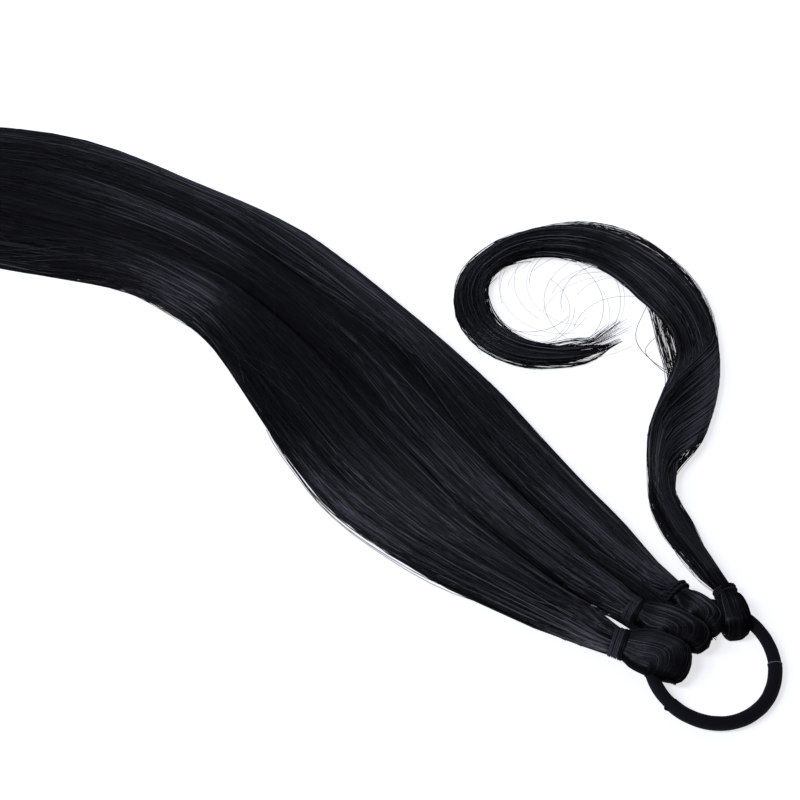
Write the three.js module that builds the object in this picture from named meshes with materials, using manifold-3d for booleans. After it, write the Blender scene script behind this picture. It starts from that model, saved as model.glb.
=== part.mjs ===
// Ponytail hairpiece: three hanks of straight hair and a wrap lock, looped over a fabric-covered
// elastic ring. Millimetres, +Z up, lying on its flat underside. The tails run from the ring towards -X.

import * as THREE from 'three';
import { LoftGeometry } from 'three/addons/geometries/LoftGeometry.js';
import { mergeVertices } from 'three/addons/utils/BufferGeometryUtils.js';
import Module from 'manifold-3d';

// Elastic ring
const RING_OUTER_DIAMETER = 49;
const CORD_DIAMETER = 4.6;
const SHEATH_THICKNESS = 0.2;
const NUB_DIAMETER = 2.6;

// Loops over the elastic, and the necks behind them
const LOOP_LAYER = 3.6;
const LOOP_LENGTH = 28;
const NECK_WIDTH = 9.8;
const NECK_HEIGHT = 9;
const NECK_PARTING = 2.1;

// Bindings
const THREAD_THICKNESS = 1;
const THREAD_BAND_WIDTH = 4.4;
const ROPE_THICKNESS = 1.7;

// Tail of the three hanks
const TAIL_LENGTH = 480;
const TAIL_WIDTH = 85;
const TAIL_HEIGHT = 17;

// Wrap lock
const WRAP_LENGTH = 332;
const WRAP_WIDTH = 22;
const WRAP_HEIGHT = 9;

// Gap between touching pieces
const CLEARANCE = 0.3;

// Sizes that follow from the ones above
const RING_RADIUS = (RING_OUTER_DIAMETER - CORD_DIAMETER) / 2;
const CORD_RADIUS = CORD_DIAMETER / 2;
const RING_RISE = LOOP_LAYER + CLEARANCE - SHEATH_THICKNESS;
const LOOP_HEIGHT = 2 * (LOOP_LAYER + CLEARANCE) + CORD_DIAMETER;
const NECK_PITCH = NECK_WIDTH + 2 * (THREAD_THICKNESS + CLEARANCE) + NECK_PARTING;

// The elastic lies on the floor at its free front and is carried by the loops at its back.
// Angles are in degrees about the ring's centre, from +X towards +Y.
const RING = { highest: 152, sheath_from: -106, sheath_to: 30, nub: -106 };
const RING_STEPS = 40;
const CORD_SIDES = 10;

// Tail of the three hanks, from the bindings to the tips: heading in degrees away from -X, towards -Y
// when positive; half-width and height in shares of the tail's; the two partings between the hanks in
// shares of the half-width; how far the hanks have merged; the parting's own width in shares of the necks'.
const TAIL = [
  { share: 0.00, heading: -14.5, width: 0.40, height: 0.60, front: -0.45, back: 0.46, merge: 0.00, open: 1 },
  { share: 0.03, heading: -12.9, width: 0.54, height: 0.62, front: -0.31, back: 0.31, merge: 0.02, open: 0.7 },
  { share: 0.06, heading: -10.6, width: 0.65, height: 0.67, front: -0.34, back: 0.25, merge: 0.12, open: 0.2 },
  { share: 0.09, heading: -10.0, width: 0.73, height: 0.73, front: -0.31, back: 0.25, merge: 0.30, open: 0 },
  { share: 0.12, heading: -10.7, width: 0.81, height: 0.79, front: -0.29, back: 0.26, merge: 0.48, open: 0 },
  { share: 0.15, heading: -12.6, width: 0.88, height: 0.85, front: -0.26, back: 0.28, merge: 0.62, open: 0 },
  { share: 0.18, heading: -15.5, width: 0.93, height: 0.90, front: -0.22, back: 0.31, merge: 0.72, open: 0 },
  { share: 0.21, heading: -18.4, width: 0.98, height: 0.94, front: -0.19, back: 0.33, merge: 0.80, open: 0 },
  { share: 0.24, heading: -20.6, width: 1.00, height: 0.97, front: -0.19, back: 0.36, merge: 0.86, open: 0 },
  { share: 0.27, heading: -22.1, width: 0.98, height: 0.99, front: -0.19, back: 0.41, merge: 0.90, open: 0 },
  { share: 0.30, heading: -23.1, width: 0.96, height: 1.00, front: -0.18, back: 0.44, merge: 0.90, open: 0 },
  { share: 0.34, heading: -23.3, width: 0.91, height: 1.00, front: -0.20, back: 0.42, merge: 0.86, open: 0 },
  { share: 0.38, heading: -22.9, width: 0.86, height: 1.00, front: -0.24, back: 0.34, merge: 0.80, open: 0 },
  { share: 0.42, heading: -18.6, width: 0.81, height: 1.00, front: -0.30, back: 0.27, merge: 0.76, open: 0 },
  { share: 0.45, heading: -11.5, width: 0.79, height: 1.00, front: -0.32, back: 0.25, merge: 0.76, open: 0 },
  { share: 0.48, heading: -5.0, width: 0.77, height: 0.98, front: -0.34, back: 0.29, merge: 0.78, open: 0 },
  { share: 0.51, heading: -1.0, width: 0.75, height: 0.96, front: -0.33, back: 0.36, merge: 0.82, open: 0 },
  { share: 0.55, heading: 3.2, width: 0.75, height: 0.93, front: -0.30, back: 0.39, merge: 0.88, open: 0 },
  { share: 0.60, heading: 8.1, width: 0.81, height: 0.89, front: -0.27, back: 0.43, merge: 0.92, open: 0 },
  { share: 0.65, heading: 12.6, width: 0.89, height: 0.86, front: -0.22, back: 0.42, merge: 0.94, open: 0 },
  { share: 0.70, heading: 16.8, width: 0.91, height: 0.84, front: -0.17, back: 0.40, merge: 0.94, open: 0 },
  { share: 0.75, heading: 18.6, width: 0.88, height: 0.80, front: -0.18, back: 0.38, merge: 0.92, open: 0 },
  { share: 0.80, heading: 19.4, width: 0.80, height: 0.73, front: -0.22, back: 0.36, merge: 0.88, open: 0 },
  { share: 0.85, heading: 20.0, width: 0.70, height: 0.64, front: -0.27, back: 0.34, merge: 0.80, open: 0 },
  { share: 0.90, heading: 20.4, width: 0.58, height: 0.53, front: -0.31, back: 0.33, merge: 0.66, open: 0 },
  { share: 0.95, heading: 20.7, width: 0.46, height: 0.41, front: -0.33, back: 0.33, merge: 0.50, open: 0 },
  { share: 1.00, heading: 21.0, width: 0.34, height: 0.28, front: -0.33, back: 0.33, merge: 0.40, open: 0 },
];
const TAIL_START = { angle: 172.5, outside: 0.22 };
const TAIL_ROWS = 26;
const TAIL_BODY_START = 0.035;
const TAIL_BODY_END = 0.885;
const LOCK_START = 0.76;
const LOCK_ROWS = 7;

// The three hanks. Place of each binding: across the tail in shares of the neck pitch and along it in
// shares of the loop's length; directions in degrees from +X; the loop's length and width in shares of
// the loop's length and the neck pitch; the tail's crown in shares of its height; where its locks end.
const HANKS = [
  { name: 'front', across: -0.975, along: -0.01, neck_heading: 189.5, loop_heading: 9, loop_length: 0.93,
    loop_width: 1.24, crown: 0.96, neck: 1.0, rope_turns: 0, lock_ends: [0.925, 0.955, 0.94] },
  { name: 'middle', across: 0.03, along: 0.16, neck_heading: 176, loop_heading: 0.8, loop_length: 1.04,
    loop_width: 0.88, crown: 1.0, neck: 0.88, rope_turns: 0, lock_ends: [0.97, 1.0, 0.975] },
  { name: 'back', across: 1.07, along: -0.06, neck_heading: 156, loop_heading: -13.5, loop_length: 0.78,
    loop_width: 0.74, crown: 0.92, neck: 0.82, rope_turns: 2, lock_ends: [0.95, 0.965, 0.92] },
];

// A loop head from its tip to the neck: distance from the binding in shares of the loop's length,
// half-width in shares of the loop's, underside and top in shares of the loop's height.
const LOOP = [
  { along: 1.00, width: 0.16, under: 0.26, top: 0.46 },
  { along: 0.97, width: 0.50, under: 0.08, top: 0.68 },
  { along: 0.91, width: 0.77, under: 0.00, top: 0.85 },
  { along: 0.80, width: 0.95, under: 0.00, top: 0.97 },
  { along: 0.66, width: 1.00, under: 0.00, top: 1.00 },
  { along: 0.50, width: 0.99, under: 0.00, top: 1.02 },
  { along: 0.36, width: 0.94, under: 0.00, top: 1.00 },
  { along: 0.24, width: 0.85, under: 0.00, top: 0.93 },
  { along: 0.15, width: 0.74, under: 0.03, top: 0.85 },
];

// Wrap lock, from its binding to its tip: heading in degrees from +X; half-width and height in shares
// of the lock's; how far its ridges have turned about its middle, in degrees.
const WRAP = [
  { share: 0.000, heading: 148, width: 0.22, height: 0.80, turn: 0 },
  { share: 0.055, heading: 146, width: 0.31, height: 0.84, turn: 10 },
  { share: 0.090, heading: 143, width: 0.40, height: 0.88, turn: 20 },
  { share: 0.125, heading: 135, width: 0.41, height: 0.94, turn: 40 },
  { share: 0.155, heading: 114, width: 0.42, height: 0.96, turn: 60 },
  { share: 0.190, heading: 100, width: 0.66, height: 0.84, turn: 80 },
  { share: 0.225, heading: 98, width: 0.92, height: 0.78, turn: 110 },
  { share: 0.265, heading: 98, width: 0.97, height: 0.84, turn: 150 },
  { share: 0.300, heading: 104, width: 0.93, height: 1.00, turn: 200 },
  { share: 0.330, heading: 115, width: 0.95, height: 1.00, turn: 250 },
  { share: 0.360, heading: 122, width: 1.02, height: 0.86, turn: 290 },
  { share: 0.415, heading: 136, width: 1.08, height: 0.70, turn: 320 },
  { share: 0.470, heading: 153, width: 1.10, height: 0.62, turn: 335 },
  { share: 0.530, heading: 172, width: 1.08, height: 0.60, turn: 345 },
  { share: 0.585, heading: 199, width: 0.96, height: 0.60, turn: 355 },
  { share: 0.632, heading: 217, width: 0.82, height: 0.62, turn: 365 },
  { share: 0.667, heading: 232, width: 0.68, height: 0.66, turn: 375 },
  { share: 0.702, heading: 250, width: 0.58, height: 0.70, turn: 385 },
  { share: 0.735, heading: 266, width: 0.56, height: 0.72, turn: 395 },
  { share: 0.763, heading: 287, width: 0.60, height: 0.70, turn: 405 },
  { share: 0.796, heading: 311, width: 0.66, height: 0.64, turn: 415 },
  { share: 0.838, heading: 338, width: 0.66, height: 0.58, turn: 425 },
  { share: 0.874, heading: 362, width: 0.62, height: 0.54, turn: 435 },
  { share: 0.905, heading: 380, width: 0.56, height: 0.50, turn: 440 },
  { share: 0.935, heading: 392, width: 0.46, height: 0.46, turn: 445 },
  { share: 0.968, heading: 408, width: 0.30, height: 0.36, turn: 450 },
  { share: 1.000, heading: 420, width: 0.05, height: 0.10, turn: 455 },
];
const WRAP_ROWS = 44;
const WRAP_START = 0.04;
const WRAP_PLACE = { name: 'wrap', angle: 104.5, outside: 0.26, neck_heading: 136, loop_heading: -52,
  loop_length: 0.66, loop_width: 0.80, neck: 0.54, rope_turns: 2 };

// Places across a section, from one side at 0 to the other at 1. The tail's locks part at each third.
const HANK_STATIONS = {
  top: [0, 0.03, 0.1, 0.2, 1 / 3, 0.42, 0.5, 0.58, 2 / 3, 0.8, 0.9, 0.97, 1],
  under: [1, 0.8, 0.5, 0.2, 0],
};
const LOCK_STATIONS = { top: [0, 0.08, 0.28, 0.5, 0.72, 0.92, 1], under: [1, 0] };
const WRAP_STATIONS = { top: [0, 0.06, 0.2, 0.35, 0.5, 0.65, 0.8, 0.94, 1], under: [1, 0.75, 0.25, 0] };
const LOCKS_PER_HANK = 3;

// Shape of a section: the share of its height where a free side starts, how much the crown drops at the
// tail's edges, how deep the locks part, and how deep the wrap lock's turning ridges are.
const SIDE_STEP = 0.06;
const CROWN_DROP = 0.2;
const LOCK_PARTING = 0.09;
const RIDGE_DEPTH = 0.08;
// Flatness of a loop's underside: above 1 a flat strip lies on the floor.
const LOOP_FLATNESS = 1.25;

// Sides of a hank's top, in shares of its width: how far a side's round reaches where the hanks lie apart,
// and, where they have merged, at the tail's edge and at a valley; and how high a merged valley starts.
const SIDE_REACH = { apart: 0.5, edge: 0.75, valley: 0.2 };
const VALLEY_HEIGHT = 0.86;
// The stretch of a hank's width in which its locks part.
const PARTING_FROM = 0.2;
const PARTING_TO = 0.8;

// The hank's end narrows and sinks into its lock tips from this share on, by these shares.
const FADE = { from: 0.8, narrow: 0.6, sink: 0.85 };
// Share of a tail or wrap lock in which it settles from its binding's height to the floor.
const TAIL_SETTLE = 0.04;
const WRAP_SETTLE = 0.05;
// A lock tip: its width where it leaves the hank, how sharp its end is, and how far it sinks under the
// hank's top.
const LOCK_TIP = { start: 0.8, taper: 0.97, sink: 0.97 };
// Rows of the tail's body lie a little closer near the bindings.
const ROW_CROWDING = 1.15;
// Height of the wrap lock's widest line, in shares of its height.
const WRAP_WAIST = 0.3;

// Thread binding: turns, steps round the neck, and the depth of the grooves between turns.
const THREAD = { turns: 3, steps: 22, groove: 0.3, shoulder: 0.35 };
// Rope binding: sides of the rope, steps round the neck, twists of its two strands on the way round, the
// strands' relief in shares of its radius, and the pitch of its turns in shares of its thickness.
const ROPE = { sides: 6, steps: 22, twists: 6, relief: 0.12, pitch: 0.8 };

const wasm = await Module();
wasm.setup();

const radians = THREE.MathUtils.degToRad;
const mix = THREE.MathUtils.lerp;
const clamp = THREE.MathUtils.clamp;

// Value of a table's column at a share of the length, on a smooth curve through the rows.
function column(rows, name, share) {
  const last = rows.length - 1;
  const at = clamp(share, rows[0].share, rows[last].share);
  let i = 0;
  while (i < last - 1 && rows[i + 1].share < at) i += 1;
  const slope = (k) => {
    const a = rows[Math.max(k - 1, 0)];
    const b = rows[Math.min(k + 1, last)];
    return (b[name] - a[name]) / (b.share - a.share);
  };
  const span = rows[i + 1].share - rows[i].share;
  const t = (at - rows[i].share) / span;
  const rise = rows[i + 1][name] - rows[i][name];
  const s0 = slope(i) * span;
  const s1 = slope(i + 1) * span;
  return rows[i][name] + t * (s0 + t * (3 * rise - 2 * s0 - s1 + t * (s0 + s1 - 2 * rise)));
}

// A path in plan, walked from its start along its headings. Returns the place and heading at a share.
function plan_path(start, length, headingAt) {
  const STEPS = 400;
  const points = [start.clone()];
  for (let i = 0; i < STEPS; i += 1) {
    const heading = radians(headingAt((i + 0.5) / STEPS));
    const step = new THREE.Vector2(Math.cos(heading), Math.sin(heading)).multiplyScalar(length / STEPS);
    points.push(points[i].clone().add(step));
  }
  return (share) => {
    const at = clamp(share, 0, 1) * STEPS;
    const i = Math.min(Math.floor(at), STEPS - 1);
    return { point: points[i].clone().lerp(points[i + 1], at - i), heading: headingAt(share) };
  };
}

// A point at an angle about the ring's centre, at a distance outside the cord's middle.
function round_ring(angle, outside) {
  const reach = RING_RADIUS + outside;
  return new THREE.Vector2(Math.cos(radians(angle)), Math.sin(radians(angle))).multiplyScalar(reach);
}

// Unit vector across a path, towards the back of the tail.
function across(heading) {
  return new THREE.Vector2(Math.sin(radians(heading)), -Math.cos(radians(heading)));
}

// Rounded rise from a side: 'start' at the side, 1 from 'reach' inwards, a quarter of an ellipse between.
function side_rise(distance, reach, start) {
  const t = 1 - Math.min(distance / reach, 1);
  return start + (1 - start) * Math.sqrt(1 - t * t);
}

// One closed section: lies across the heading, from 'low' to 'high' along the across direction.
// 'under' and 'top' give the heights at a station.
function section(stations, place, low, high, under, top) {
  const side = across(place.heading);
  const point = (station, height) => {
    const offset = mix(low, high, station);
    return new THREE.Vector3(place.point.x + side.x * offset, place.point.y + side.y * offset, height);
  };
  return [
    ...stations.top.map((station) => point(station, top(station))),
    ...stations.under.map((station) => point(station, under(station))),
  ];
}

// A bulging section with its widest line part of the way up; 'flatness' above 1 flattens the underside.
function round_section(stations, place, halfWidth, base, height, flatness) {
  const bulge = (station) => Math.sqrt(Math.max(1 - (2 * station - 1) ** 2, 0));
  const waist = base + height * 0.5;
  const under = (station) => base + Math.max(0, (waist - base) * (1 - flatness * bulge(station)));
  const top = (station) => waist + height * 0.5 * Math.max(bulge(station), SIDE_STEP);
  return section(stations, place, -halfWidth, halfWidth, under, top);
}

const tail_start = round_ring(TAIL_START.angle, TAIL_START.outside * LOOP_LENGTH);
const tail_place = plan_path(tail_start, TAIL_LENGTH, (share) => 180 + column(TAIL, 'heading', share));

// The lane of one hank at a share of the tail: its two sides, across the tail's path.
function lane(index, share) {
  const half = column(TAIL, 'width', share) * TAIL_WIDTH / 2;
  const gap = (CLEARANCE + Math.max(column(TAIL, 'open', share), 0) * NECK_PARTING) / 2;
  const sides = [-half, column(TAIL, 'front', share) * half, column(TAIL, 'back', share) * half, half];
  const low = sides[index] + (index > 0 ? gap : 0);
  const high = sides[index + 1] - (index < HANKS.length - 1 ? gap : 0);
  return { low, high, half };
}

// Height of a hank's top at a station of its lane: round sides where the hanks lie apart, shallow
// valleys where they have merged, a crown over the whole tail, and shallow partings between locks.
function tail_top(index, share, station) {
  const { low, high, half } = lane(index, share);
  const merge = clamp(column(TAIL, 'merge', share), 0, 1);
  const offset = mix(low, high, station);
  const rise = (distance, outer) => {
    const reach = mix(SIDE_REACH.apart, outer ? SIDE_REACH.edge : SIDE_REACH.valley, merge);
    return side_rise(distance, reach, outer ? SIDE_STEP : Math.max(VALLEY_HEIGHT * merge, SIDE_STEP));
  };
  const sides = rise(station, index === 0) * rise(1 - station, index === HANKS.length - 1);
  const crown = 1 - CROWN_DROP * merge * (offset / half) ** 2;
  const parted = station > PARTING_FROM && station < PARTING_TO;
  const parting = 1 - (parted ? LOCK_PARTING * Math.cos(Math.PI * LOCKS_PER_HANK * station) ** 8 : 0);
  return column(TAIL, 'height', share) * TAIL_HEIGHT * HANKS[index].crown * sides * crown * parting;
}

// Sizes of a neck and of the binding round it.
function neck_sizes(row) {
  const cover = row.rope_turns > 0 ? ROPE_THICKNESS : THREAD_THICKNESS;
  const halfWidth = row.neck * NECK_WIDTH / 2;
  const halfHeight = row.neck * NECK_HEIGHT / 2;
  return { cover, halfWidth, halfHeight, lift: cover + CLEARANCE };
}

// Half the length of neck that a binding covers.
function band_half(row) {
  return (row.rope_turns > 0 ? row.rope_turns * ROPE_THICKNESS : THREAD_BAND_WIDTH) / 2;
}

// The place at a distance behind a binding's middle, along the neck.
function neck_place(row, centre, distance) {
  const heading = row.neck_heading;
  const back = new THREE.Vector2(Math.cos(radians(heading)), Math.sin(radians(heading)));
  return { point: centre.clone().addScaledVector(back, distance), heading };
}

// Sections of a loop head and its neck, from the tip to just behind the binding. 'grow' swells it all
// round.
function loop_sections(row, centre, stations, grow = 0) {
  const length = row.loop_length * LOOP_LENGTH;
  const halfWidth = row.loop_width * NECK_PITCH / 2;
  const ahead = radians(row.loop_heading);
  const direction = new THREE.Vector2(Math.cos(ahead), Math.sin(ahead));
  const neck = neck_sizes(row);
  const place = (distance) => ({
    point: centre.clone().addScaledVector(direction, distance),
    heading: row.loop_heading + 180,
  });
  const sections = LOOP.map((shape) => {
    const base = Math.max(shape.under * LOOP_HEIGHT - grow, 0);
    const height = (shape.top * LOOP_HEIGHT + grow) - base;
    const stretch = shape === LOOP[0] ? grow : 0;
    const width = shape.width * halfWidth + grow;
    return round_section(stations, place(shape.along * length + stretch), width, base, height, LOOP_FLATNESS);
  });
  const neck_end = band_half(row) + CLEARANCE;
  for (const distance of [-neck_end, neck_end]) {
    const width = neck.halfWidth + grow;
    const height = 2 * neck.halfHeight + grow;
    sections.push(round_section(stations, neck_place(row, centre, distance), width, neck.lift, height, 1));
  }
  return sections;
}

// Where a hank is bound, measured from the start of the tail.
function binding_centre(row) {
  const start = tail_place(0);
  const forward = new THREE.Vector2(Math.cos(radians(start.heading)), Math.sin(radians(start.heading)));
  return start.point.clone()
    .addScaledVector(across(start.heading), row.across * NECK_PITCH)
    .addScaledVector(forward, row.along * LOOP_LENGTH);
}

// Turns a closed geometry into a solid.
function solid(geometry) {
  const bare = new THREE.BufferGeometry();
  bare.setAttribute('position', geometry.attributes.position);
  bare.setIndex(geometry.index);
  const merged = mergeVertices(bare, 1e-4);
  return new wasm.Manifold(new wasm.Mesh({
    numProp: 3,
    vertProperties: Float32Array.from(merged.attributes.position.array),
    triVerts: Uint32Array.from(merged.index.array),
  }));
}

// Turns a solid back into a geometry.
function geometry_of(body) {
  const mesh = body.getMesh();
  const geometry = new THREE.BufferGeometry();
  geometry.setAttribute('position', new THREE.BufferAttribute(Float32Array.from(mesh.vertProperties), 3));
  geometry.setIndex(Array.from(mesh.triVerts));
  return geometry;
}

function loft(sections) {
  return new LoftGeometry(sections, { capStart: true, capEnd: true });
}

// The ring's tilt: its highest point lies over the loops, its lowest on the floor.
function tilt_ring(geometry) {
  const slope = Math.asin(RING_RISE / (2 * RING_RADIUS));
  const axis = new THREE.Vector3(Math.sin(radians(RING.highest)), -Math.cos(radians(RING.highest)), 0);
  geometry.applyMatrix4(new THREE.Matrix4().makeRotationAxis(axis, slope));
  geometry.translate(0, 0, CORD_RADIUS + SHEATH_THICKNESS + RING_RISE / 2);
  return geometry;
}

function ring_solid(radius) {
  return solid(tilt_ring(new THREE.TorusGeometry(RING_RADIUS, radius, CORD_SIDES, RING_STEPS)));
}

// The stretch where the sheath laps over itself: a tube a little thicker than the cord, along an arc.
function sheath_lap() {
  const STEPS = 16;
  const points = [];
  for (let i = 0; i <= STEPS; i += 1) {
    const place = round_ring(mix(RING.sheath_from, RING.sheath_to, i / STEPS), 0);
    points.push(new THREE.Vector3(place.x, place.y, 0));
  }
  const outline = new THREE.Shape().absarc(0, 0, CORD_RADIUS + SHEATH_THICKNESS, 0, 2 * Math.PI);
  const extrudePath = new THREE.CatmullRomCurve3(points);
  return new THREE.ExtrudeGeometry(outline, { extrudePath, steps: STEPS, curveSegments: CORD_SIDES / 2 });
}

// The elastic with its lapped sheath and the nub where the lap is sewn down.
function elastic_ring() {
  const nub = new THREE.SphereGeometry(NUB_DIAMETER / 2, 8, 6);
  const place = round_ring(RING.nub, CORD_RADIUS);
  nub.translate(place.x, place.y, 0);
  return geometry_of(ring_solid(CORD_RADIUS).add(solid(tilt_ring(sheath_lap()))).add(solid(tilt_ring(nub))));
}

// A tapered lock at the tail's end, from inside the hank's body to its tip.
function lock_tip(index, lock) {
  const end = HANKS[index].lock_ends[lock];
  const sections = [];
  for (let i = 0; i <= LOCK_ROWS; i += 1) {
    const t = i / LOCK_ROWS;
    const share = mix(LOCK_START, end, t);
    const { low, high } = lane(index, share);
    const middle = mix(low, high, (lock + 0.5) / LOCKS_PER_HANK);
    const swell = mix(LOCK_TIP.start, 1, Math.min(t * 4, 1)) * Math.sqrt(1 - LOCK_TIP.taper * t * t);
    const half = (high - low) / (2 * LOCKS_PER_HANK) * swell;
    const crown = tail_top(index, share, (lock + 0.5) / LOCKS_PER_HANK) * swell * LOCK_TIP.sink;
    const side = (distance) => side_rise(distance, SIDE_REACH.apart, SIDE_STEP);
    const rise = (station) => crown * side(station) * side(1 - station);
    sections.push(section(LOCK_STATIONS, tail_place(share), middle - half, middle + half, () => 0, rise));
  }
  return solid(loft(sections));
}

// One hank: loop head, neck and tail in one loft, its locks' tips added, and the elastic's way cut through.
// A loop gives way to the neighbours' loops that press on it.
function hank(index, pressed) {
  const row = HANKS[index];
  const centre = binding_centre(row);
  const sections = loop_sections(row, centre, HANK_STATIONS);
  for (let i = 0; i <= TAIL_ROWS; i += 1) {
    const share = mix(TAIL_BODY_START, TAIL_BODY_END, (i / TAIL_ROWS) ** ROW_CROWDING);
    const fade = clamp((share - FADE.from) / (TAIL_BODY_END - FADE.from), 0, 1);
    const narrow = 1 - FADE.narrow * fade ** 3;
    const sink = 1 - FADE.sink * fade ** 2;
    const { low, high } = lane(index, share);
    const middle = (low + high) / 2;
    const half = (high - low) / 2 * narrow;
    const settle = clamp(1 - (share - TAIL_BODY_START) / TAIL_SETTLE, 0, 1);
    const lift = neck_sizes(row).lift * settle * 0.5;
    const top = (station) => Math.max(tail_top(index, share, station) * sink, SIDE_STEP) + lift;
    const under = (station) => lift * (station === 0 || station === 1 ? 1 : 0);
    sections.push(section(HANK_STATIONS, tail_place(share), middle - half, middle + half, under, top));
  }
  let body = solid(loft(sections));
  for (let lock = 0; lock < LOCKS_PER_HANK; lock += 1) body = body.add(lock_tip(index, lock));
  for (const loop of pressed) body = body.subtract(loop);
  return geometry_of(body.subtract(ring_solid(CORD_RADIUS + CLEARANCE)));
}

const wrap_centre = round_ring(WRAP_PLACE.angle, WRAP_PLACE.outside * LOOP_LENGTH);
const wrap_place = plan_path(wrap_centre, WRAP_LENGTH, (share) => column(WRAP, 'heading', share));

// The wrap lock: loop head, neck and a free length whose ridges turn about its middle where it twists.
function wrap_lock() {
  const sections = loop_sections(WRAP_PLACE, wrap_centre, WRAP_STATIONS);
  const neck = neck_sizes(WRAP_PLACE);
  for (let i = 0; i <= WRAP_ROWS; i += 1) {
    const share = mix(WRAP_START, 1, i / WRAP_ROWS);
    const half = column(WRAP, 'width', share) * WRAP_WIDTH / 2;
    const height = column(WRAP, 'height', share) * WRAP_HEIGHT;
    const turn = radians(column(WRAP, 'turn', share));
    const settle = clamp(1 - (share - WRAP_START) / WRAP_SETTLE, 0, 1);
    const base = neck.lift * settle;
    const ridge = (station) => 1 + RIDGE_DEPTH * Math.cos(LOCKS_PER_HANK * Math.PI * station - 2 * turn);
    const rise = (station) => Math.sqrt(Math.max(1 - (2 * station - 1) ** 2, 0));
    const waist = base + WRAP_WAIST * height;
    const crown = (1 - WRAP_WAIST) * height;
    const top = (station) => waist + crown * Math.max(rise(station) * ridge(station), SIDE_STEP);
    const under = (station) => base + Math.max(0, (waist - base) * (1 - LOOP_FLATNESS * rise(station)));
    sections.push(section(WRAP_STATIONS, wrap_place(share), -half, half, under, top));
  }
  return geometry_of(solid(loft(sections)).subtract(ring_solid(CORD_RADIUS + CLEARANCE)));
}

// A band closed on itself round a neck: 'outline' gives a section's points, as distances from the
// neck's surface and along the neck, at an angle round it.
function band(row, centre, steps, outline) {
  const neck = neck_sizes(row);
  const side = across(row.neck_heading);
  const forward = neck_place(row, new THREE.Vector2(), 1).point;
  const middle = neck.lift + neck.halfHeight;
  const sections = [];
  for (let i = 0; i <= steps; i += 1) {
    const angle = (i % steps) / steps * 2 * Math.PI;
    sections.push(outline(angle).map(([off, along]) => {
      const sideways = Math.cos(angle) * (neck.halfWidth + off);
      return new THREE.Vector3(
        centre.x + side.x * sideways + forward.x * along,
        centre.y + side.y * sideways + forward.y * along,
        middle + Math.sin(angle) * (neck.halfHeight + off),
      );
    }));
  }
  return solid(new LoftGeometry(sections));
}

// Thread wound side by side: a band whose outside has one round ridge for each turn.
function thread_binding(row, centre) {
  const half = THREAD_BAND_WIDTH / 2;
  const turn = THREAD_BAND_WIDTH / THREAD.turns;
  const crest = CLEARANCE + THREAD_THICKNESS;
  const low = crest - THREAD.groove;
  const outline = [[CLEARANCE, half], [CLEARANCE, -half]];
  for (let i = 0; i < THREAD.turns; i += 1) {
    const middle = -half + (i + 0.5) * turn;
    const shoulder = THREAD.shoulder * turn;
    outline.push([low, middle - shoulder], [crest, middle], [low, middle + shoulder]);
  }
  return band(row, centre, THREAD.steps, () => outline);
}

// A twisted rope wound round the neck: each turn has two lobes that turn about the rope's middle.
function rope_binding(row, centre) {
  const radius = ROPE_THICKNESS / 2;
  const rings = [];
  for (let turn = 0; turn < row.rope_turns; turn += 1) {
    const along = (turn - (row.rope_turns - 1) / 2) * ROPE_THICKNESS * ROPE.pitch;
    const outline = (angle) => {
      const points = [];
      for (let i = 0; i < ROPE.sides; i += 1) {
        const round = i / ROPE.sides * 2 * Math.PI;
        const wave = Math.cos(2 * round - ROPE.twists * angle + turn * Math.PI / 2);
        const lobe = radius * (1 - ROPE.relief + ROPE.relief * wave);
        points.push([CLEARANCE + radius + lobe * Math.cos(round), along + lobe * Math.sin(round)]);
      }
      return points;
    };
    rings.push(band(row, centre, ROPE.steps, outline));
  }
  return wasm.Manifold.union(rings);
}

// A named mesh with its own material.
function piece(name, geometry, color, roughness) {
  const mesh = new THREE.Mesh(geometry, new THREE.MeshStandardMaterial({ color, roughness, metalness: 0 }));
  mesh.name = name;
  return mesh;
}

const grown_loop = (row, centre, stations) => solid(loft(loop_sections(row, centre, stations, CLEARANCE)));
const loops = HANKS.map((row) => grown_loop(row, binding_centre(row), HANK_STATIONS));
const wrap_loop = grown_loop(WRAP_PLACE, wrap_centre, WRAP_STATIONS);
const pressed = [[], [loops[0]], [loops[1], wrap_loop]];

const hairpiece = new THREE.Group();
hairpiece.name = 'ponytail_hairpiece';
hairpiece.add(piece('elastic_ring', elastic_ring(), 0x17171a, 0.85));
HANKS.forEach((row, index) => {
  hairpiece.add(piece(`hank_${row.name}`, hank(index, pressed[index]), 0x121317, 0.4));
  const binding = row.rope_turns > 0 ? rope_binding : thread_binding;
  const geometry = geometry_of(binding(row, binding_centre(row)));
  hairpiece.add(piece(`binding_${row.name}`, geometry, 0x1a1b20, 0.55));
});
hairpiece.add(piece('wrap_lock', wrap_lock(), 0x121317, 0.4));
hairpiece.add(piece('wrap_binding', geometry_of(rope_binding(WRAP_PLACE, wrap_centre)), 0x1a1b20, 0.55));

// The origin is the middle of the footprint, on the floor.
const box = new THREE.Box3().setFromObject(hairpiece, true);
const middle = box.getCenter(new THREE.Vector3());
hairpiece.position.set(-middle.x, -middle.y, -box.min.z);

const model = new THREE.Group();
model.add(hairpiece);

export default model;
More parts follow.
